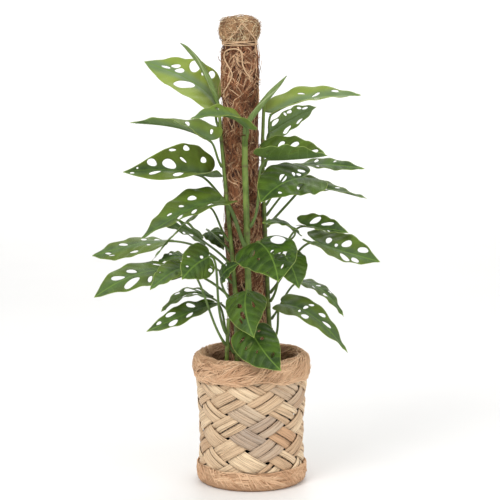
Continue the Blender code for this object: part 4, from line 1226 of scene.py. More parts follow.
class Blade:
    """The bent surface of one leaf: flat places along and across the midrib become points in space."""

    def __init__(self, plan: LeafPlan) -> None:
        """Sets up the midrib.

        Args:
            plan: The leaf's plan.
        """
        self.plan = plan
        self.base = np.array(plan.base, float)
        self.chord = np.array(plan.tip, float) - self.base
        ahead = unit(self.chord)
        self.up = unit(np.array(plan.up) - ahead * np.dot(plan.up, ahead))
        self.across = np.cross(self.up, ahead)
        spots = self.midrib(np.linspace(0, 1, 21))
        self.length = float(np.linalg.norm(np.diff(spots, axis=0), axis=1).sum())

    def midrib(self, u: Array) -> Array:
        """Finds points of the midrib.

        Args:
            u: Their places, as shares of its length.

        Returns:
            The points, one a row.
        """
        share = np.clip(np.asarray(u, float), 0, 1)[..., None]
        bow = 4 * share * (1 - share)
        rise = self.up * self.plan.arch * bow * (1 + 0.35 * (1 - 2 * share))
        return self.base + self.chord * share + rise + self.across * self.plan.sway * bow

    def ahead(self, u: Array) -> Array:
        """The direction of the midrib at the shares u."""
        share = np.clip(np.asarray(u, float), 0, 1)
        return unit(self.midrib(np.minimum(share + 0.02, 1)) - self.midrib(np.maximum(share - 0.02, 0)))

    def frame(self, u: Array) -> tuple[Array, Array]:
        """Finds the directions across the blade and off it.

        Args:
            u: Places as shares of the blade's length.

        Returns:
            The side directions and the up directions, one a row.
        """
        ahead = self.ahead(u)
        up = unit(self.up - ahead * (ahead @ self.up)[..., None])
        side = np.cross(up, ahead)
        turn = np.radians(self.plan.twist * (np.clip(u, 0, 1) - 0.25))[..., None]
        return side * np.cos(turn) + up * np.sin(turn), up * np.cos(turn) - side * np.sin(turn)

    def place(self, s: Array, t: Array, lift: Array | float) -> Array:
        """Bends flat places into space.

        Args:
            s: Millimetres along the midrib, from the stalk.
            t: Millimetres across it.
            lift: How far each point stands off the surface.

        Returns:
            The points, one a row.
        """
        u = np.asarray(s, float) / self.length
        side, up = self.frame(u)
        fold = math.radians(self.plan.fold)
        bend = math.radians(self.plan.curl) / (self.plan.width / 2)
        reach = np.abs(t)
        if abs(bend) < 1e-6:
            out, rise = reach * math.cos(fold), reach * math.sin(fold)
        else:
            out = (math.sin(fold) - np.sin(fold - bend * reach)) / bend
            rise = (np.cos(fold - bend * reach) - math.cos(fold)) / bend
        early = np.minimum(u, 0)[..., None] * self.ahead(np.array(0.0)) * self.length
        return self.midrib(u) + early + side * np.copysign(out, t)[..., None] + up * (rise + lift)[..., None]


def inside(spots: Array, polygon: Array) -> Array:
    """Tells which flat spots lie inside a polygon.

    Args:
        spots: The spots, one a row.
        polygon: Its corners, one a row.

    Returns:
        Whether it is so, for each spot.
    """
    x, y = spots[:, 0][:, None], spots[:, 1][:, None]
    ax, ay = polygon[:, 0], polygon[:, 1]
    bx, by = np.roll(ax, -1), np.roll(ay, -1)
    gap = np.where(by == ay, 1e-9, by - ay)
    crosses = ((ay > y) != (by > y)) & (x < ax + (y - ay) * (bx - ax) / gap)
    return crosses.sum(axis=1) % 2 == 1


def off_line(spots: Array, polygon: Array) -> Array:
    """Measures how far flat spots are from a closed polygon's line.

    Args:
        spots: The spots, one a row.
        polygon: Its corners, one a row.

    Returns:
        The distance of each spot.
    """
    step = (np.roll(polygon, -1, axis=0) - polygon)[None]
    gap = spots[:, None] - polygon[None]
    share = np.clip((gap * step).sum(2) / np.maximum((step**2).sum(2), 1e-9), 0, 1)
    return np.linalg.norm(gap - step * share[..., None], axis=2).min(axis=1)


@dataclass
class Leaf:
    """One leaf: a thin blade with holes between its side veins, and its stalk running on as the midrib."""

    plan: LeafPlan
    vine: Vine
    thick: float = 0.6
    grid: float = 2.5
    edge_step: float = 1.9
    wave: float = 1.3
    quilt: float = 0.8
    dent: float = 0.95
    stalk_sides: int = 10
    stalk_steps: int = 26
    rib_steps: int = 16
    away_from_pole: float = 0.8
    leave_share: float = 0.38
    arrive_share: float = 0.28
    flare: float = 0.2
    veins: int = 6
    vein_rise: float = 0.258
    vein_bend: float = 0.94
    wave_share: float = 0.27
    blade: Blade = field(init=False)
    shifts: tuple[float, float] = field(init=False)

    def __post_init__(self) -> None:
        """Sets up the bent surface and where its side veins run."""
        self.blade = Blade(self.plan)
        self.shifts = (self.vein_shift(1), self.vein_shift(-1))

    def half_width(self, u: Array) -> Array:
        """Half the blade's width at the share u of its length."""
        return self.plan.width / 2 * table_value((*(p for p in HALF_OUTLINE if p[0] >= 0), (1.0, 0.0)), u)

    def outline(self) -> Array:
        """Rounds the blade's edge through its corner points.

        Returns:
            The flat outline, one point a row.
        """
        rng = random.Random(self.plan.name)
        plan, length = self.plan, self.blade.length
        notch = plan.stalk * 0.95
        halves = []
        for side in (-1, 1):
            stretch = rng.uniform(0.94, 1.05)
            half = [(u * length * (plan.lobe if u < 0 else 1.0),
                     side * max(v * plan.width / 2 * stretch, notch + 1.0)) for u, v in HALF_OUTLINE]
            half = [(-0.5, side * notch), *half, (length, 0.0)]
            halves.append(evened(smooth_path(half), self.edge_step))
        return np.vstack([[(0.0, 0.0)], halves[0][:-1], halves[1][::-1]])

    def oval(self, middle: Array, long: float, wide: float, lean_deg: float) -> Array:
        """Rounds an opening, a little wider at its outer end.

        Args:
            middle: Its middle.
            long: Its length.
            wide: Its width.
            lean_deg: How far its length leans from the midrib.

        Returns:
            Its flat outline, one point a row.
        """
        turns = circle(max(int(math.pi * long / self.edge_step * 0.85), 12))
        cos, sin = math.cos(math.radians(lean_deg)), math.sin(math.radians(lean_deg))
        outer = math.copysign(self.flare, middle[1] * sin)
        x = np.cos(turns) * long / 2
        y = np.sin(turns) * wide / 2 * (1 + outer * np.cos(turns))
        return middle + np.column_stack([x * cos - y * sin, x * sin + y * cos])

    def vein_count(self, s: Array, t: Array) -> Array:
        """How many side veins leave the midrib before the one through each flat place."""
        forward = s - self.vein_rise * np.abs(t) - self.vein_bend * t * t / self.plan.width
        return forward / self.blade.length * self.veins + 20

    def ribs(self, s: Array, t: Array) -> Array:
        """A value that is whole on every side vein and halfway between two of them."""
        return self.vein_count(s, t) - np.where(t >= 0, *self.shifts)

    def vein_shift(self, side: int) -> float:
        """Finds how far the veins of one half move so that most openings lie between them.

        Args:
            side: 1 for the one half and -1 for the other.

        Returns:
            The move, in veins.
        """
        rows = np.array([row for row in self.plan.openings if side * row[1] > 0], float)
        if not len(rows):
            return 0.3 * side
        s, t = rows[:, 0] / 100 * self.blade.length, rows[:, 1] / 100 * self.plan.width / 2
        turns = FULL_TURN * self.vein_count(s, t)
        size = rows[:, 2] * rows[:, 3]
        return math.atan2(float(size @ np.sin(turns)), float(size @ np.cos(turns))) / FULL_TURN - 0.5

    def loose_spots(self, outline: Array, holes: list[Array]) -> list:
        """Lays an even grid of spots between the edges.

        Args:
            outline: The flat outline.
            holes: The outlines of the openings.

        Returns:
            The spots that lie in the blade and not too near an edge or the midrib.
        """
        low, high = outline.min(axis=0), outline.max(axis=0)
        spots = np.array([
            (x, y) for row, y in enumerate(np.arange(low[1], high[1], self.grid * 0.87))
            for x in np.arange(low[0] + (row % 2) * self.grid / 2, high[0], self.grid)])
        keep = inside(spots, outline) & (np.abs(spots[:, 1]) > self.grid * 0.55)
        for ring in (outline, *holes):
            keep &= off_line(spots, ring) > self.grid * 0.42
        for hole in holes:
            keep &= ~inside(spots, hole)
        return spots[keep].tolist()

    def flat_mesh(self) -> tuple[Array, Array, Array, Array]:
        """Cuts the outline and the openings into triangles.

        Returns:
            The flat spots, the triangles, and each spot's distance from any edge and from the outline.
        """
        outline = self.outline()
        scale = np.array((self.blade.length, self.plan.width / 2)) / 100
        holes = [self.oval(np.array(row[:2]) * scale, *row[2:]) for row in self.plan.openings]
        spine = [(x, 0.0) for x in np.arange(self.grid, self.blade.length - 1, self.grid)]
        flat, edges = [], []
        for ring in (outline, *holes):
            start = len(flat)
            flat += ring.tolist()
            edges += [(start + k, start + (k + 1) % len(ring)) for k in range(len(ring))]
        chain = [0, *range(len(flat), len(flat) + len(spine)), int(np.argmax(outline[:, 0]))]
        edges += list(zip(chain, chain[1:]))
        flat += spine + self.loose_spots(outline, holes)
        made = delaunay_2d_cdt([Vector(p) for p in flat], edges, [], 0, 1e-4)
        spots = np.array([(v.x, v.y) for v in made[0]])
        triangles = np.array([f for f in made[2] if len(f) == 3])
        middles = spots[triangles].mean(axis=1)
        kept = inside(middles, outline)
        for hole in holes:
            kept &= ~inside(middles, hole)
        used, triangles = np.unique(triangles[kept], return_inverse=True)
        spots = spots[used]
        gaps = [off_line(spots, ring) for ring in (outline, *holes)]
        return spots, triangles.reshape(-1, 3), np.min(gaps, axis=0), gaps[0]

    def relief(self, s: Array, t: Array) -> Array:
        """Raises the blade between its veins and waves its margin.

        Args:
            s: Places along the midrib.
            t: Places across it.

        Returns:
            How far each place stands off the plain surface.
        """
        rng = random.Random(self.plan.name + " waves")
        u = s / self.blade.length
        outward = np.clip(np.abs(t) / np.maximum(self.half_width(np.clip(u, 0, 0.95)), 4.0), 0, 1)
        swell = self.quilt * (0.5 - 0.5 * np.cos(FULL_TURN * self.ribs(s, t))) * np.clip(outward * 3, 0, 1)
        groove = -0.7 * np.exp(-((t / 1.6) ** 2)) * np.clip(1 - u, 0, 1)
        phase = np.where(t >= 0, rng.uniform(0, 6), rng.uniform(0, 6))
        dents = self.dent * np.sin(s / 8.5 + 0.06 * t + phase) * np.sin(t / 6.5 + phase * 1.7)
        waves = self.wave * outward**2.2 * np.sin(FULL_TURN * u / self.wave_share + phase)
        return swell * (1 - 0.5 * outward) + groove + dents * np.clip(outward * 4, 0, 1) + waves

    def add_blade(self, shape: Shape, young: float) -> None:
        """Adds the blade as one closed thin body with an upper and a lower side.

        Args:
            shape: The leaf's shape.
            young: How fresh its green is, with painted light added for some leaves.
        """
        spots, triangles, gaps, margin = self.flat_mesh()
        s, t = spots.T
        surface = self.blade.place(s, t, self.relief(s, t))
        a, b, c = np.moveaxis(surface[triangles], 1, 0)
        normals = np.zeros_like(surface)
        for k in range(3):
            np.add.at(normals, triangles[:, k], np.cross(b - a, c - a))
        lift = unit(normals) * (self.thick / 2 * np.clip(0.35 + gaps / 1.5, 0.35, 1))[:, None]
        upper, count, single = triangles.tolist(), len(spots), {}
        for corners in upper:
            for edge in zip(corners, corners[1:] + corners[:1]):
                if not single.pop(edge[::-1], False):
                    single[edge] = True
        rim = [(end, start, start + count, end + count) for start, end in single]
        shape.add((np.vstack([surface + lift, surface - lift]),
                   upper + (triangles[:, ::-1] + count).tolist() + rim),
                  [0] * len(upper) + [1] * len(upper) + [0] * len(rim), ribs=np.tile(self.ribs(s, t), 2),
                  edge=np.tile(margin, 2), middle=np.tile(np.abs(t), 2), young=young)

    def stalk_line(self) -> tuple[Array, Array]:
        """Leads the stalk from inside the vine to the blade and on below the midrib.

        Returns:
            Its points, one a row, and its radii.
        """
        plan, blade = self.plan, self.blade
        axis = along(self.vine.path, plan.root_z)
        flat = np.array((1.0, 1.0, 0.0))
        toward = unit((blade.base - axis) * flat)
        away = unit((axis - along(POLE_AXIS, plan.root_z)) * flat)
        outward = unit(toward + self.away_from_pole * away)
        root = axis + outward * (self.vine.radius(plan.root_z) * self.vine.knot_swell + SEAT)
        reach = np.linalg.norm(root - blade.base)
        first = blade.base - blade.ahead(np.array(0.0)) * reach * self.arrive_share
        second = root + unit(outward + np.array((0, 0, 1.2))) * reach * self.leave_share
        t = np.linspace(1, 0, self.stalk_steps)[:, None]
        curve = ((1 - t) ** 3 * blade.base + 3 * (1 - t) ** 2 * t * first + 3 * (1 - t) * t * t * second
                 + t**3 * root)
        shares = np.linspace(0.04, 0.93, self.rib_steps)
        thin = plan.stalk * (0.55 - 0.42 * shares)
        below = blade.midrib(shares) - blade.frame(shares)[1] * (self.thick * 0.5 + thin * 0.55 + 0.35)[:, None]
        curve[-1] = (curve[-2] + below[0]) / 2
        walk = np.linspace(0, 1, self.stalk_steps)
        bulges = 0.42 * np.exp(-((walk / 0.07) ** 2)) + 0.16 * np.exp(-(((walk - 0.93) / 0.05) ** 2))
        upper = plan.stalk * (1.18 - 0.18 * walk + bulges)
        upper[-1] = plan.stalk * 0.8
        return (np.vstack([[root - outward * (SEAT + 1.2)], curve, below]),
                np.concatenate([[upper[0]], upper, thin]))

    def build(self, skins: list[Material]) -> None:
        """Builds the leaf.

        Args:
            skins: The finishes of the upper side, the lower side and the stalk.
        """
        shape = Shape()
        rng = random.Random(self.plan.name + " tone")
        high = np.clip((self.plan.base[2] - 500) / 90, 0, 1)
        outer = np.clip((abs(self.plan.tip[0]) - 60) / 90, 0, 1)
        young = 0.7 * high + rng.uniform(0, 0.14) + 0.22 * outer
        # Some leaves get painted light on top of their fresh green.
        self.add_blade(shape, young + PAINTED_LIGHT_LIFT.get(self.plan.name, 0.0))
        path, radii = self.stalk_line()
        share = np.linspace(0, 1, len(path))
        shape.add(tube(path, radii, self.stalk_sides, tuple(-self.blade.across)), 2,
                  run=run_of(share * 100, circle(self.stalk_sides) * 2, rng.uniform(0, 9)),
                  young=0.25 + 0.5 * share, scar=0.35 * np.exp(-((share / 0.03) ** 2)),
                  middle=9.0, edge=9.0, ribs=0.5)
        shape.finished("foliage_" + self.plan.name[-2:], skins, self.plan.name)


@dataclass
class RolledLeaf:
    """A young leaf, still rolled up, with the edge of the roll winding round it."""

    name: str
    path: tuple[Point, ...]
    radii: tuple[float, ...]
    sides: int = 22
    turns: float = 0.9

    def build(self, skin: Material) -> None:
        """Builds the roll.

        Args:
            skin: Its finish.
        """
        path = smooth_path(self.path)
        count, turn = len(path), circle(self.sides)
        share = np.linspace(0, 1, count)
        radii = np.interp(share, np.linspace(0, 1, len(self.radii)), self.radii)
        shape = Shape()
        shape.add(tube(path, radii, self.sides, (0.0, 1.0, 0.0), 1.04 - 0.2 * (turn / FULL_TURN),
                       self.turns * FULL_TURN * np.arange(count) / count),
                  ribs=np.add.outer(share * 9, turn * 0.6).ravel(), middle=30.0, young=1.0 - 0.3 * share,
                  edge=np.tile(np.minimum(turn, FULL_TURN - turn) * 3, count) + 0.1)
        shape.finished(self.name + "_roll", [skin], self.name)


ROLLS = (
    RolledLeaf("young_leaf_left", ((-49.5, -11, 581.5), (-52, -14, 592), (-60, -20, 616), (-78, -26, 650),
                                   (-96, -28, 672), (-107, -28, 681)), (2.2, 3.2, 4.6, 4.4, 3.0, 0.6)),
    RolledLeaf("young_leaf_front", ((-10, -35.5, 543.5), (-8, -34, 556), (6, -34, 578), (27, -34, 604),
                                    (42, -33, 620), (53, -32, 632)), (3.4, 3.8, 4.8, 5.0, 3.2, 0.6)),
)


# Pole, twine and cane


def pole_side(turn_deg: float, z: float, reach: float) -> Array:
    """A point beside the pole's middle line, turned from the front towards +X."""
    return along(POLE_AXIS, z) + from_front(math.radians(turn_deg), reach, 0.0)


@dataclass(frozen=True)
class Mat:
    """One layer of fibre on the pole.

    Its fields are the heights that it grows between, the fibres per square metre, the seed, the
    least and most length and the thickness in metres, how far the fibres turn from upright, how
    much of their standing off is kept, how far they bend and rise in metres, and their least and
    most tone.
    """

    name: str
    low: float
    high: float
    density: float
    seed: int
    size: tuple[float, float]
    thick: float
    spread: float
    hug: float
    stray: float
    rise: float
    tone: tuple[float, float]

    def settings(self, finish: Material) -> dict[str, object]:
        """The inputs of the tree that scatters it."""
        return {"Density": self.density, "Seed": self.seed, "Least size": self.size[0],
                "Most size": self.size[1], "Thickness": self.thick, "Spread": self.spread, "Hug": self.hug,
                "Stray": self.stray, "Rise": self.rise, "Least tone": self.tone[0],
                "Most tone": self.tone[1], "Finish": finish}


MATS = (
    Mat("pole_mat", 120, 676, 39500.0, 7, (0.016, 0.04), 0.0006, 1.3, 0.15, 0.024, 0.0013, (0.0, 1.0)),
    Mat("pole_cross", 150, 676, 13500.0, 8, (0.018, 0.04), 0.00036, 1.15, 0.2, 0.013, 0.0019, (0.25, 1.0)),
    Mat("pole_stray", 170, 700, 4500.0, 9, (0.012, 0.03), 0.00028, 1.6, 1.0, 0.02, 0.0042, (0.3, 1.0)),
    Mat("cap_mat", 680, 717, 120000.0, 10, (0.01, 0.026), 0.0006, 1.6, 0.3, 0.02, 0.0013, (0.1, 1.0)),
    Mat("cap_stray", 684, 717, 40000.0, 12, (0.008, 0.018), 0.00026, 1.6, 1.0, 0.016, 0.0034, (0.2, 1.0)),
)


@dataclass
class CoirPole:
    """The pole: a lumpy core painted dark as shade between the fibres, matted brown fibre over it and a paler
    bulging cap.
    """

    foot_z: float = 7.35
    cap_z: float = 660.0
    step: float = 4.0
    cap_step: float = 2.2
    sides: int = 64
    patch: int = 4
    lump: float = 1.1
    blur: int = 3
    cap_from: float = 684.0
    mat_lift: float = 0.2
    # The core shows between the fibres; a tone below every fibre's paints it nearly the dark colour, as painted
    # shade in the gaps.
    core_gap_shade: float = -0.25

    def core(self) -> Body:
        """Builds the lumpy core.

        Returns:
            Its points and its faces.
        """
        rng = np.random.default_rng(31)
        heights = np.concatenate([np.arange(self.foot_z, self.cap_z, self.step),
                                  np.arange(self.cap_z, 716, self.cap_step), [716.2, 717.0]])
        radii = table_value(POLE_PROFILE, heights)[:, None]
        rows, columns, patch = len(heights), self.sides, self.patch
        rough = rng.normal(0, 1, (rows, columns))
        wide = rng.normal(0, 1, (rows // patch + 2, columns // patch))
        spread = np.repeat(np.repeat(wide, patch, axis=0)[:rows], patch, axis=1)
        for _ in range(self.blur):
            spread = (spread + np.roll(spread, 1, 1) + np.roll(spread, -1, 1)
                      + np.vstack([spread[1:], spread[-1:]]) + np.vstack([spread[:1], spread[:-1]])) / 5
        lumps = np.clip(0.25 * rough + 1.2 * spread, -1.2, 1.0) * self.lump
        reach = np.maximum(radii - 0.4 + lumps * np.minimum(radii / 20, 1), 0.3)
        x, y, z = np.array([along(POLE_AXIS, height) for height in heights]).T[..., None]
        turns = circle(columns)
        points = np.stack([x + reach * np.cos(turns), y + reach * np.sin(turns), z + 0 * reach], axis=2)
        return points.reshape(-1, 3), body_faces(rows, columns)

    def carrier(self, body: Body, mat: Mat) -> Object:
        """Cuts the open surface that a mat grows on out of the core, and lifts it a little.

        Args:
            body: The core.
            mat: The mat.

        Returns:
            The surface.
        """
        points, faces = body
        heights = points[:, 2]
        middles = np.array([along(POLE_AXIS, z) for z in heights])
        kept = [f for f in faces if len(f) == 4 and mat.low <= min(heights[i] for i in f)
                and max(heights[i] for i in f) <= mat.high]
        shape = Shape()
        shape.add((points + unit((points - middles) * (1.0, 1.0, 0.0)) * self.mat_lift, kept))
        return shape.mesh_object(mat.name, [])

    def build(self, coir: Material, cap: Material, tree: NodeTree) -> None:
        """Builds the core and its fibres.

        Args:
            coir: The brown fibre's finish.
            cap: The paler fibre's finish.
            tree: The tree that scatters fibres.
        """
        points, faces = body = self.core()
        tops = [int(min(points[i][2] for i in f) > self.cap_from) for f in faces]
        shape = Shape()
        shape.add(body, tops, tone=self.core_gap_shade)
        shape.finished("pole_core", [coir, cap], "coir_pole")
        for mat in MATS:
            finish = cap if mat.name.startswith("cap") else coir
            settle(grow(self.carrier(body, mat), tree, mat.settings(finish)))


@dataclass
class Twine:
    """Twisted twine: three thin strands laid round one line."""

    radius: float = 1.1
    tie_radius: float = 0.7
    over_radius: float = 0.9
    strands: int = 3
    sides: int = 6
    pitch: float = 6.5
    step: float = 0.9
    windings: int = 5
    neck_z: float = 681.0
    neck_reach: float = 26.7
    neck_sway: float = 2.4
    bow_reach: float = 28.2
    over: tuple[Point, ...] = (
        (-52, 681, 27.8), (-34, 686, 31.4), (-12, 695, 33.8), (-2, 704, 34.0), (6, 710, 32.6), (16, 704, 34.0),
        (32, 694, 33.8), (50, 685, 31.4), (58, 676, 28.4), (60, 664, 29.0))
    bow: tuple[tuple[float, float], ...] = (
        (-64, 604), (-44, 613), (-25, 629), (-26, 638), (-41, 649), (-53, 659), (-48, 667), (-32, 671),
        (-12, 672), (2, 669), (7, 661), (8, 650), (16, 639), (33, 628))

    def ply(self, shape: Shape, spots: list, mark: float, radius: float) -> None:
        """Adds the strands of one length of twine.

        Args:
            shape: The shape that they join.
            spots: The twine's middle line as degrees, height and reach round the pole.
            mark: A number that sets its streaks apart.
            radius: Half its thickness.
        """
        first_side = (0.1, 0.2, 1.0)
        line = evened(smooth_path(np.array([pole_side(*spot) for spot in spots])), self.step)
        side, over = carried_frames(line, first_side)
        walk = np.arange(len(line)) * self.step
        fine = radius * 0.52
        offset = (radius - fine) * 1.15
        for k in range(self.strands):
            turn = FULL_TURN * (walk / self.pitch + k / self.strands)
            strand = line + side * (offset * np.cos(turn))[:, None] + over * (offset * np.sin(turn))[:, None]
            shape.add(tube(strand, np.full(len(strand), fine), self.sides, first_side),
                      run=run_of(walk * 3, np.arange(self.sides) * 1.4, mark + k), tone=0.2 + 0.25 * k,
                      hidden=0.0, grey=0.0, red=0.0)

    def build(self, finish: Material) -> None:
        """Builds the neck tie and the bow below it.

        Args:
            finish: The twine's finish.
        """
        tie, loop = Shape(), Shape()
        for number in range(self.windings):
            turns = np.arange(0, 361, 12)
            heights = self.neck_z + self.neck_sway * np.sin(np.radians(turns + 73 * number)) - 0.5 * number
            self.ply(tie, [(*spot, self.neck_reach) for spot in zip(turns, heights)], 3.0 + number,
                     self.tie_radius)
        self.ply(tie, self.over, 9.0, self.over_radius)
        tie.finished("neck_twine", [finish], "neck_tie")
        self.ply(loop, [(turn, z, self.bow_reach + self.radius) for turn, z in self.bow], 1.0, self.radius)
        loop.finished("hanging_twine", [finish], "twine_loop")


@dataclass
class Cane:
    """The plain cane that stands behind the pole, with its joints and a cut top."""

    top: Point = (16.0, 25.0, 431.0)
    foot: Point = (22.0, 26.0, 7.35)
    radius: float = 7.2
    joints: tuple[float, ...] = (70.0, 205.0, 330.0)
    joint_reach: float = 3.5
    line_reach: float = 1.6
    bevel: float = 0.6
    sides: int = 20

    def build(self, finish: Material) -> None:
        """Builds the cane.

        Args:
            finish: Its finish.
        """
        low, high = self.foot[2], self.top[2]
        heights = np.append(np.arange(low, high - self.bevel, 3.0), [high - self.bevel, high])
        share = (heights - low) / (high - low)
        path = np.array(self.foot) + (np.array(self.top) - np.array(self.foot)) * share[:, None]
        gap = np.min(np.abs(heights[:, None] - np.array(self.joints)), axis=1)
        radii = self.radius * (0.91 + 0.06 * share + 0.05 * np.exp(-((gap / self.joint_reach) ** 2)))
        radii[-1] *= 0.86
        shape = Shape()
        shape.add(tube(path, radii, self.sides), run=run_of(heights, np.arange(self.sides) * 2.2, 0.0),
                  tone=0.5, hidden=np.exp(-((gap / self.line_reach) ** 2)) * 0.6, grey=0.0, red=0.0)
        shape.finished("cane_bark", [finish], "cane")


# Basket


def add_ribbon(shape: Shape, upper: Array, lower: Array, turned: bool, run: Array,
               **values: Array | float) -> None:
    """Adds a flat strip between its upper and its lower sheet.

    Args:
        shape: The shape that it joins.
        upper: The points of the upper sheet, row by row along the strip.
        lower: The points of the lower sheet.
        turned: Whether the faces have to be turned to look outward.
        run: The vectors that its streaks are read from.
        **values: Its tone, tints and painted shade.
    """
    rings = np.concatenate([upper, lower[:, ::-1]], axis=1)
    faces = body_faces(*rings.shape[:2])
    shape.add((rings.reshape(-1, 3), flipped(faces) if turned else faces), run=run, **values)


@dataclass
class PlaitedWall:
    """The basket's wall: two sets of eight strips, each split into narrower ribbons, laid over and under.

    The tables of tints hold the strip, the row where it crosses and the share of the tint.
    """

    around: int = 8
    row_pitch: float = 19.0
    lowest_z: float = 24.0
    column_turn: float = 22.5
    first_column: float = 17.6
    top_z: float = 190.0
    foot_z: float = 9.0
    middle_lift: float = 0.6
    wave_lift: float = 2.4
    ribbon_thick: float = 0.8
    crown: float = 0.9
    sway: float = 0.03
    split: float = 0.012
    cell_long: float = 35.7
    cell_wide: float = 32.1
    steps_per_cell: int = 9
    corners: int = 7
    ribbon_counts: tuple[int, ...] = (1, 2, 2, 3, 3, 4)
    margins: tuple[float, float] = (0.01, 0.085)
    greys: tuple = ((1, 3, 0.9), (2, 5, 0.55), (4, 7, 0.45), (6, 2, 0.35), (5, 5, 0.3))
    rising_greys: tuple = ((6, 4, 0.8), (7, 2, 0.6), (6, 6, 0.4), (3, 4, 0.5), (1, 6, 0.4))
    reds: tuple = ((2, 3, 0.9),)

    def lattice_point(self, a: Array, b: Array, offset: Array) -> Array:
        """Finds points of the wall.

        Args:
            a: Places counted by the falling strips.
            b: Places counted by the rising strips.
            offset: Distances out from the wall's middle.

        Returns:
            The points.
        """
        z = np.clip(self.lowest_z + self.row_pitch * (a - b), self.foot_z, self.top_z)
        turn = np.radians(self.first_column + self.column_turn * (a + b))
        return from_front(turn, table_value(WALL_LINE, z) + offset, z)

    def tints(self, slant: Slant, strip: int, cells: Array, table: tuple) -> Array:
        """Reads how much of a tint each place of a strip has.

        Args:
            slant: Which way the strip runs.
            strip: The strip's number.
            cells: The other set's strip number that each place crosses.
            table: Rows of strip, row and share.

        Returns:
            The share of the tint at each place.
        """
        out = np.zeros(len(cells))
        for number, row, share in table:
            if strip % self.around == number:
                out = np.where((strip - cells) * (1 if slant is Slant.FALLING else -1) == row, share, out)
        return out

    def add_strip(self, shape: Shape, slant: Slant, strip: int, span: tuple[float, float]) -> None:
        """Adds all ribbons of one strip.

        Args:
            shape: The wall's shape.
            slant: Which way it runs.
            strip: Its number.
            span: Where it starts and ends in its pitch.
        """
        rng = random.Random(100 * strip + slant.value)
        falling = slant is Slant.FALLING
        most = (self.lowest_z - self.foot_z) / self.row_pitch
        least = (self.top_z - self.lowest_z) / self.row_pitch
        low, high = (strip - least, strip + most) if falling else (strip - most, strip + least)
        ahead = np.linspace(low - 0.02, high + 0.02, int((high - low) * self.steps_per_cell))
        beat = np.cos(math.pi * (ahead - strip - slant.value))
        flat = beat * (1.45 - 0.45 * beat**2)
        nearest = 2 * np.round((ahead - strip - slant.value) / 2) + strip + slant.value
        grey = self.tints(slant, strip, nearest, self.greys if falling else self.rising_greys)
        red = self.tints(slant, strip, nearest, self.reds if falling else ())
        strip_tone = rng.uniform(0.1, 0.6)
        count = rng.choice(self.ribbon_counts)
        cuts = [0.0] + [(k + rng.uniform(-0.22, 0.22)) / count for k in range(1, count)] + [1.0]
        cuts = [strip - 0.5 + span[0] + (span[1] - span[0]) * cut for cut in cuts]
        for part, (start, end) in enumerate(zip(cuts, cuts[1:])):
            phase = rng.uniform(0, 6)
            first = start + self.split + self.sway * np.sin(ahead * 1.7 + phase)
            last = end - self.split + self.sway * np.sin(ahead * 1.4 + phase + 1.5)
            lift = self.middle_lift + self.wave_lift * flat * (1 + 0.06 * math.sin(phase)) + 0.35 * (part % 2)
            tones = {c: min(max(strip_tone + rng.uniform(-0.4, 0.45), 0), 1) for c in np.unique(nearest)}
            tilt = rng.uniform(-0.5, 0.5) + 0.45 * np.sin(ahead * 2.3 + phase)
            # A ribbon gets painted shade where it dips under the crossing strip.
            self.lay(shape, slant, (ahead, first, last), (lift, tilt), strip + part * 0.37 + 20 * slant.value,
                     tone=np.array([tones[c] for c in nearest]), grey=grey * rng.uniform(0.75, 1.0), red=red,
                     hidden=np.clip(-beat * 1.3 - 0.1, 0, 1) * 0.55)

    def lay(self, shape: Shape, slant: Slant, places: tuple, stand: tuple, mark: float,
            **values: Array) -> None:
        """Adds one flat ribbon with a crowned face and a rounded edge.

        Args:
            shape: The wall's shape.
            slant: Which way it runs.
            places: Lattice places along it, and where its two edges lie across the lattice there.
            stand: How far its middle stands out, and how much one edge does more than the other.
            mark: A number that sets its streaks apart.
            **values: Its tone, tints and painted shade at each place.
        """
        ahead, first, last = places
        lift, tilt = stand
        share = np.linspace(0, 1, self.corners)
        crown = self.crown * (1 - (2 * share - 1) ** 2)
        half = self.ribbon_thick / 2 * np.clip(1.6 * (1 - np.abs(2 * share - 1) ** 4), 0.25, 1)
        across = first[:, None] + (last - first)[:, None] * share
        out = lift[:, None] + crown + tilt[:, None] * (share - 0.5)
        spots = [across, np.repeat(ahead[:, None], self.corners, 1)]
        if slant is Slant.RISING:
            spots.reverse()
        around = np.concatenate([share, share[::-1]]) * ((last - first) * self.cell_wide)[:, None]
        run = run_of(ahead * self.cell_long, around, mark)
        add_ribbon(shape, self.lattice_point(*spots, out + half), self.lattice_point(*spots, out - half),
                   slant is Slant.RISING, run, **values)

    def build(self, straw: Material) -> None:
        """Builds the wall.

        Args:
            straw: The strips' finish.
        """
        rng = random.Random(11)
        shape = Shape()
        spans = [(rng.uniform(*self.margins), 1 - rng.uniform(*self.margins)) for _ in range(2 * self.around)]
        for slant in (Slant.FALLING, Slant.RISING):
            for strip in range(self.around):
                self.add_strip(shape, slant, strip, spans.pop(0))
        shape.finished("wall_strips", [straw], "basket_wall")


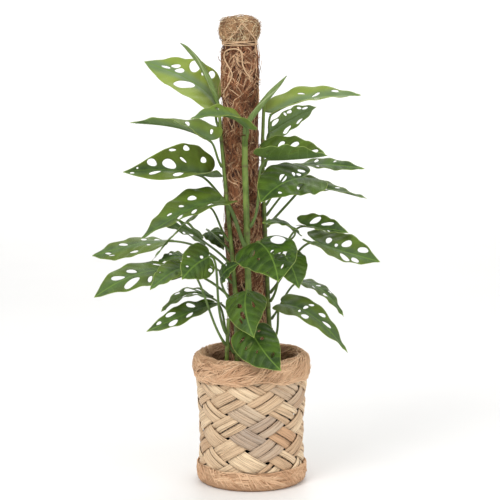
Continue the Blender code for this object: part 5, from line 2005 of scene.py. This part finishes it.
@dataclass
class FibreBand:
    """A thick band of fibre at the basket's rim or foot: a rounded body wrapped with long strands.

    The body and the surface that the strands lie on are closed and open profiles of (radius, height).
    """

    name: str
    node: str
    body: tuple
    surface: tuple
    bundles: int
    strands: int
    lean: float
    seed: int
    reach: tuple[float, float]
    strand_thick: tuple[float, float] = (0.45, 0.95)
    loose: int = 90
    sides: int = 120
    steps: int = 13
    loose_steps: int = 9
    near: float = 0.03
    least_z: float = 0.9
    outer_from: float = 84.0
    inner_from: float = 80.0
    girth: float = 85.0

    def skin_point(self, share: Array, turn: Array, lift: Array) -> Array:
        """Finds points on the band's surface.

        Args:
            share: Places along its profile, from 0 to 1.
            turn: Turns round the basket.
            lift: How far the points stand off.

        Returns:
            The points, one a row.
        """
        line = np.array(self.surface, float)
        far = walked(line) / walked(line)[-1]
        share = np.clip(share, 0, 1)
        (radius, z), ahead, back = (
            [np.interp(np.clip(share + step, 0, 1), far, line[:, k]) for k in range(2)]
            for step in (0, self.near, -self.near))
        way_r, way_z = ahead[0] - back[0], ahead[1] - back[1]
        size = np.maximum(np.hypot(way_r, way_z), 1e-6)
        return from_front(turn, radius + lift * way_z / size, np.maximum(z - lift * way_r / size, self.least_z))

    def build(self, fibre: Material, tree: NodeTree) -> None:
        """Builds the band's body and its strands.

        Args:
            fibre: The fibre's finish.
            tree: The tree that gives strands their thickness.
        """
        points, faces = lathe(self.body, self.sides)
        x, y, z = points.T
        radius, turn = np.hypot(x, y), np.arctan2(y, x)
        wobble = 0.5 * np.sin(9 * turn + z * 0.2) + 0.35 * np.sin(23 * turn - z * 0.35)
        points[:, :2] *= (1 + np.where(radius > self.outer_from, wobble - 0.9, 0) / radius)[:, None]
        run = np.column_stack([turn * self.girth, z * 1.2 + radius * 0.7, 0 * z + 2.0])
        inner = np.clip((self.inner_from - radius) / 8, 0, 1)
        shape = Shape()
        # The body is painted in shade all over, more on its inner side.
        shape.add((points, faces), run=run, tone=0.75, hidden=0.35 + 0.4 * inner, grey=0.0, red=0.0)
        shape.finished(self.name + "_body", [fibre], self.node)
        settle(grow(self.strand_lines(), tree, {"Finish": fibre}))

    def jobs(self, rng: random.Random) -> list[tuple[float, ...]]:
        """Draws the strands: bundles of them and a few loose ends.

        Args:
            rng: The band's own chance.

        Returns:
            Each strand's start, middle, reach, lean, lift, shade and spring.
        """
        jobs = []
        for _ in range(self.bundles):
            start, middle = rng.uniform(0, FULL_TURN), rng.uniform(0.02, 0.98)
            reach, lean = rng.uniform(*self.reach), self.lean * rng.uniform(-0.4, 1.6)
            shade, lift = rng.uniform(0.0, 0.85), rng.uniform(0.0, 1.5)
            jobs += [(start + rng.uniform(-0.12, 0.12), middle + rng.uniform(-0.05, 0.05),
                      reach * rng.uniform(0.7, 1.1), lean * rng.uniform(0.85, 1.15),
                      lift + rng.uniform(-0.2, 0.35), shade + rng.uniform(-0.2, 0.2), 0.0)
                     for _ in range(self.strands)]
        ranges = ((0, FULL_TURN), (0.05, 0.95), (0.12, 0.35), (-0.35, 0.35), (0.5, 1.2), (0, 0.5), (0.4, 1.3))
        return jobs + [tuple(rng.uniform(*limits) for limits in ranges) for _ in range(self.loose)]

    def strand_lines(self) -> Object:
        """Lays the strands round the band as lines.

        Returns:
            The lines, each of whose points has a thickness, a tone, a painted shade and a run.
        """
        rng = random.Random(self.seed)
        spots, edges, thick, run, tone, hidden = [], [], [], [], [], []
        for number, (start, middle, reach, lean, lift, shade, spring) in enumerate(self.jobs(rng)):
            walk = np.linspace(0, 1, self.loose_steps if spring else self.steps)
            turn = start + reach * walk
            phase = rng.uniform(0, 6)
            share = middle + lean * (walk - 0.5) + 0.022 * np.sin(walk * 6 + phase)
            share = np.maximum(share, 0.06 + 0.05 * np.sin(3 * turn + 1) + 0.035 * np.sin(8 * turn))
            ends = np.minimum(walk, 1 - walk) * 8
            rise = (lift + 0.35 * np.sin(walk * 7 + phase) + spring * walk**2 * 1.6
                    - np.clip(1 - ends, 0, 1) * (0.0 if spring else 0.6))
            edges += [(len(spots) + k, len(spots) + k + 1) for k in range(len(walk) - 1)]
            spots += (self.skin_point(share, turn, rise) * MM).tolist()
            size = rng.uniform(*self.strand_thick) * (0.55 if spring else 1.0)
            thick += list(size * MM * np.clip(0.35 + ends, 0.35, 1))
            run += [(t * self.girth, 0.0, number * 0.77) for t in turn]
            tone += [min(max(shade, 0), 1)] * len(walk)
            # Strands get painted shade on the inner and lower part of the profile.
            hidden += list(np.clip((share - 0.62) * 1.6, 0, 0.6))
        mesh = bpy.data.meshes.new(self.name + "_strands")
        mesh.from_pydata(spots, edges, [])
        for key, data in (("thick", thick), ("tone", tone), ("hidden", hidden), ("run", run)):
            store(mesh, key, data)
        return linked(self.name + "_strands", mesh)


BANDS = (
    FibreBand("rim", "basket_rim",
              ((87.6, 170), (88.6, 171), (89.8, 177), (90, 187), (87.6, 196), (81, 201.6), (74.5, 199.8),
               (71, 193), (70.6, 177), (72.4, 172), (72.7, 190.35), (87.3, 190.35)),
              ((87.4, 163), (88.4, 169), (89.9, 177), (90, 187), (87.6, 196), (81, 201.4), (74.5, 199.6),
               (70.8, 193), (70.4, 177)), 150, 9, 0.36, 21, (0.25, 0.7)),
    FibreBand("foot", "basket_foot",
              ((83.6, 30), (84.8, 28.4), (86, 21), (85.8, 12), (83.8, 4.5), (78.5, 0), (71.5, 0), (70.2, 2),
               (70.2, 14), (72.2, 14), (72.6, 8.65), (83.4, 8.65)),
              ((83.4, 31), (85.0, 28.8), (86.2, 21), (86, 12), (84, 4.8), (79.5, 1.3)),
              115, 8, 0.9, 22, (0.25, 0.6)),
)


@dataclass
class BasketFloor:
    """The flat plaited floor inside the foot band."""

    radius: float = 69.6
    pitch: float = 13.9 * 0.93
    middle: float = 2.0
    swing: float = 0.85
    half: float = 0.42
    ribbon: float = 12.9
    step: float = 2.2

    def build(self, straw: Material) -> None:
        """Builds the floor.

        Args:
            straw: The strips' finish.
        """
        rng = random.Random(17)
        shape = Shape()
        share = np.linspace(0, 1, 5)
        around = np.concatenate([share, share[::-1]]) * self.ribbon
        edge_thin = np.array((0.4, 1, 1, 1, 0.4))
        for lengthwise in (True, False):
            for number in range(-5, 6):
                spot = number * self.pitch
                edge = min(abs(spot) + self.ribbon / 2, self.radius - 0.1)
                reach = math.sqrt(max(self.radius**2 - edge**2, 30))
                ahead = np.arange(-reach, reach + 0.1, self.step)
                beat = np.cos(math.pi * (ahead / self.pitch + number + (0 if lengthwise else 1)))[:, None]
                x = np.repeat(ahead[:, None], 5, 1)
                y = np.repeat((spot + (share - 0.5) * self.ribbon)[None], len(ahead), 0)
                sheets = [np.stack([*((x, y) if lengthwise else (y, x)), height], axis=-1)
                          for height in (self.middle + self.swing * beat + sign * self.half * edge_thin
                                         for sign in (1, -1))]
                # Every floor strip gets a little painted shade.
                add_ribbon(shape, *sheets, lengthwise, run_of(ahead, around, number + 30 * lengthwise),
                           tone=rng.uniform(0.1, 0.8), hidden=0.15, grey=rng.choice((0, 0, 0.4)), red=0.0)
        shape.finished("floor_strips", [straw], "basket_floor")


# Growing pot and soil


@dataclass
class GrowingPot:
    """The thin black pot inside the basket."""

    profile: tuple = (
        (56, 4.5), (56.6, 5.2), (66.3, 158.5), (66.6, 160), (68.4, 160.3), (68.6, 161), (68.6, 166.3),
        (68.1, 167), (65.1, 167), (64.6, 166.4), (64.4, 160), (54.4, 8.0), (54.0, 7.0), (0, 7.0), (0, 4.5))
    sides: int = 96

    def build(self, plastic: Material) -> None:
        """Builds the pot.

        Args:
            plastic: Its finish.
        """
        shape = Shape()
        shape.add(lathe(self.profile, self.sides))
        shape.finished("pot_shell", [plastic], "nursery_pot")


@dataclass
class Soil:
    """The potting soil: a lumpy top, crumbs and bits of bark on it."""

    top: float = 154.2
    bottom: float = 7.35
    top_radius: float = 63.6
    foot_radius: float = 53.4
    rings: int = 26
    sides: int = 90
    edge_drop: float = 1.5
    strewn_depth: float = 6.0

    def body(self) -> Body:
        """Builds the filling of the pot.

        Returns:
            Its points and its faces.
        """
        rng = np.random.default_rng(5)
        turns = circle(self.sides)
        waves = rng.uniform(0, 6, 6)
        rings = []
        for k in range(1, self.rings + 1):
            reach = self.top_radius * k / self.rings
            slow, quick = np.sin(reach / 9 + 3 * turns + waves[0]), np.sin(reach / 4.3 - 5 * turns + waves[1])
            lumps = 0.72 * slow + 0.48 * quick + rng.normal(0, 0.45, self.sides)
            rings.append((reach, self.top + lumps - (self.edge_drop if k == self.rings else 0)))
        rings += [(self.top_radius - 3, 80), (self.foot_radius, self.bottom)]
        points = [np.column_stack([reach * np.cos(turns), reach * np.sin(turns), z + 0 * turns])
                  for reach, z in rings]
        return np.vstack(points), flipped(body_faces(len(rings), self.sides))

    def build(self, earth: Material, bark: Material, tree: NodeTree) -> None:
        """Builds the soil and its crumbs.

        Args:
            earth: The soil's finish.
            bark: The finish of the bark bits.
            tree: The tree that scatters crumbs.
        """
        points, faces = self.body()
        shape = Shape()
        shape.add((points, faces), tone=0.4)
        shape.finished("soil_body", [earth], "soil")
        least_z = self.top - self.strewn_depth
        strewn = [f for f in faces if len(f) == 4 and min(points[i][2] for i in f) > least_z]
        for name, density, seed, least, most, stray, finish in (
                ("soil_crumbs", 90000.0, 3, 0.0007, 0.0021, 0.0028, earth),
                ("soil_bark", 9000.0, 4, 0.0014, 0.0034, 0.004, bark)):
            carrier = Shape()
            carrier.add((points, strewn))
            settle(grow(carrier.mesh_object(name, []), tree, {
                "Density": density, "Seed": seed, "Least size": least, "Most size": most, "Spread": 3.0,
                "Stray": stray, "Finish": finish}))


# Studio and the whole plant


@dataclass
class Studio:
    """A plain pale floor that turns up into a backdrop, soft lights and the camera.

    The lights' rows hold the name, the place, the target, the length of a side and the watts.
    """

    camera_place: Point = (-0.0023, -3.042, 0.8436)
    tilt_deg: float = 81.0
    lens: float = 144.0
    floor_z: float = -0.0002
    half_width: float = 25.0
    curve: float = 1.2
    lights: tuple = (
        ("key", (-1.1, -1.7, 2.3), (0.0, 0.0, 0.35), 1.1, 34.0),
        ("fill", (1.9, -1.5, 1.3), (0.0, 0.0, 0.35), 1.6, 14.0),
        ("back", (0.4, 1.5, 2.2), (0.0, 0.3, 0.5), 1.4, 14.0),
        ("backdrop", (0.0, 3.6, 2.8), (0.0, 6.2, 0.8), 2.0, 55.0))
    sky: tuple[float, float, float, float] = (1.0, 0.99, 0.96, 1.0)
    sky_strength: float = 0.78

    def floor(self) -> None:
        """Adds the floor and its curved backdrop."""
        bends = [(5.0 + self.curve * math.sin(a), self.curve - self.curve * math.cos(a) + self.floor_z)
                 for a in np.linspace(0.08, math.pi / 2, 16)]
        rows = [(-25.0, self.floor_z), (5.0, self.floor_z), *bends, (6.2, 5.0)]
        points = np.array([(x, y, z) for y, z in rows for x in (-self.half_width, self.half_width)]) / MM
        shape = Shape()
        shape.add((points, [(2 * k, 2 * k + 1, 2 * k + 3, 2 * k + 2) for k in range(len(rows) - 1)]))
        coat = Coat("pale_floor")
        coat.feed(coat.shader.inputs["Base Color"],
                  coat.blend(coat.noise(coat.place(), 3.0), (0.86, 0.86, 0.87), (0.90, 0.90, 0.90)))
        shape.mesh_object("studio_floor", [coat.material])

    def build(self) -> None:
        """Adds the floor, the lights, the surroundings and the camera."""
        scene = bpy.context.scene
        self.floor()
        for name, place, target, size, power in self.lights:
            data = bpy.data.lights.new(name, "AREA")
            data.shape, data.size, data.energy = "SQUARE", size, power
            lamp = linked(name, data)
            lamp.location = place
            lamp.rotation_euler = (Vector(target) - Vector(place)).to_track_quat("-Z", "Y").to_euler()
        scene.world = bpy.data.worlds.new("studio")
        scene.world.use_nodes = True
        sky = scene.world.node_tree.nodes["Background"].inputs
        sky[0].default_value, sky[1].default_value = self.sky, self.sky_strength
        data = bpy.data.cameras.new("camera")
        data.lens, data.sensor_width, data.clip_end = self.lens, 36.0, 50.0
        camera = linked("camera", data)
        camera.location = self.camera_place
        camera.rotation_euler = (math.radians(self.tilt_deg), 0.0, 0.0)
        scene.camera = camera
        scene.view_settings.view_transform = "Standard"


@dataclass
class Houseplant:
    """All sub-assemblies of the plant, dressed in their finishes by name."""

    finish: dict[str, Material]

    def build_basket(self) -> None:
        """Builds the basket's wall, bands and floor."""
        strands = strands_tree()
        PlaitedWall().build(self.finish["straw_strips"])
        for band in BANDS:
            band.build(self.finish["band_fibre"], strands)
        BasketFloor().build(self.finish["straw_strips"])

    def build_pot(self) -> None:
        """Builds the growing pot and the soil."""
        GrowingPot().build(self.finish["pot_plastic"])
        Soil().build(self.finish["earth"], self.finish["bark"], scatter_tree(Litter.CRUMBS))

    def build_pole(self) -> None:
        """Builds the pole, its twine and the cane."""
        CoirPole().build(self.finish["coir"], self.finish["coir_cap"], scatter_tree(Litter.FIBRES))
        Twine().build(self.finish["twine"])
        Cane().build(self.finish["cane_bark"])

    def build_greenery(self) -> None:
        """Builds the vines, the leaves and the rolled young leaves."""
        skins = [self.finish[name] for name in ("leaf_upper", "leaf_lower", "stalk_skin")]
        vines = {vine.name: vine for vine in VINES}
        for vine in VINES:
            vine.build(self.finish["vine_skin"])
        for plan in LEAVES:
            Leaf(plan, vines["stem_" + plan.stem]).build(skins)
        for roll in ROLLS:
            roll.build(self.finish["young_leaf"])


def clear_start_scene() -> None:
    """Removes what a new file holds before the model."""
    kept = set(frame["nodes"].values()) | set(frame["bodies"].values())
    for obj in list(bpy.data.objects):
        if obj not in kept and obj.name in ("Cube", "Light", "Camera"):
            bpy.data.objects.remove(obj)


def main() -> None:
    """Builds the plant and the studio."""
    logging.basicConfig(level=logging.INFO, format="%(name)s %(message)s", stream=sys.stdout, force=True)
    clear_start_scene()
    tools = Tools(streaks_group(), mottle_group(), veins_group())
    plant = Houseplant({finish.name: finish.material(tools) for finish in FINISHES})
    for step in (plant.build_basket, plant.build_pot, plant.build_pole, plant.build_greenery, Studio().build):
        step()
    bpy.context.view_layer.update()


if __name__ == "__main__":
    main()
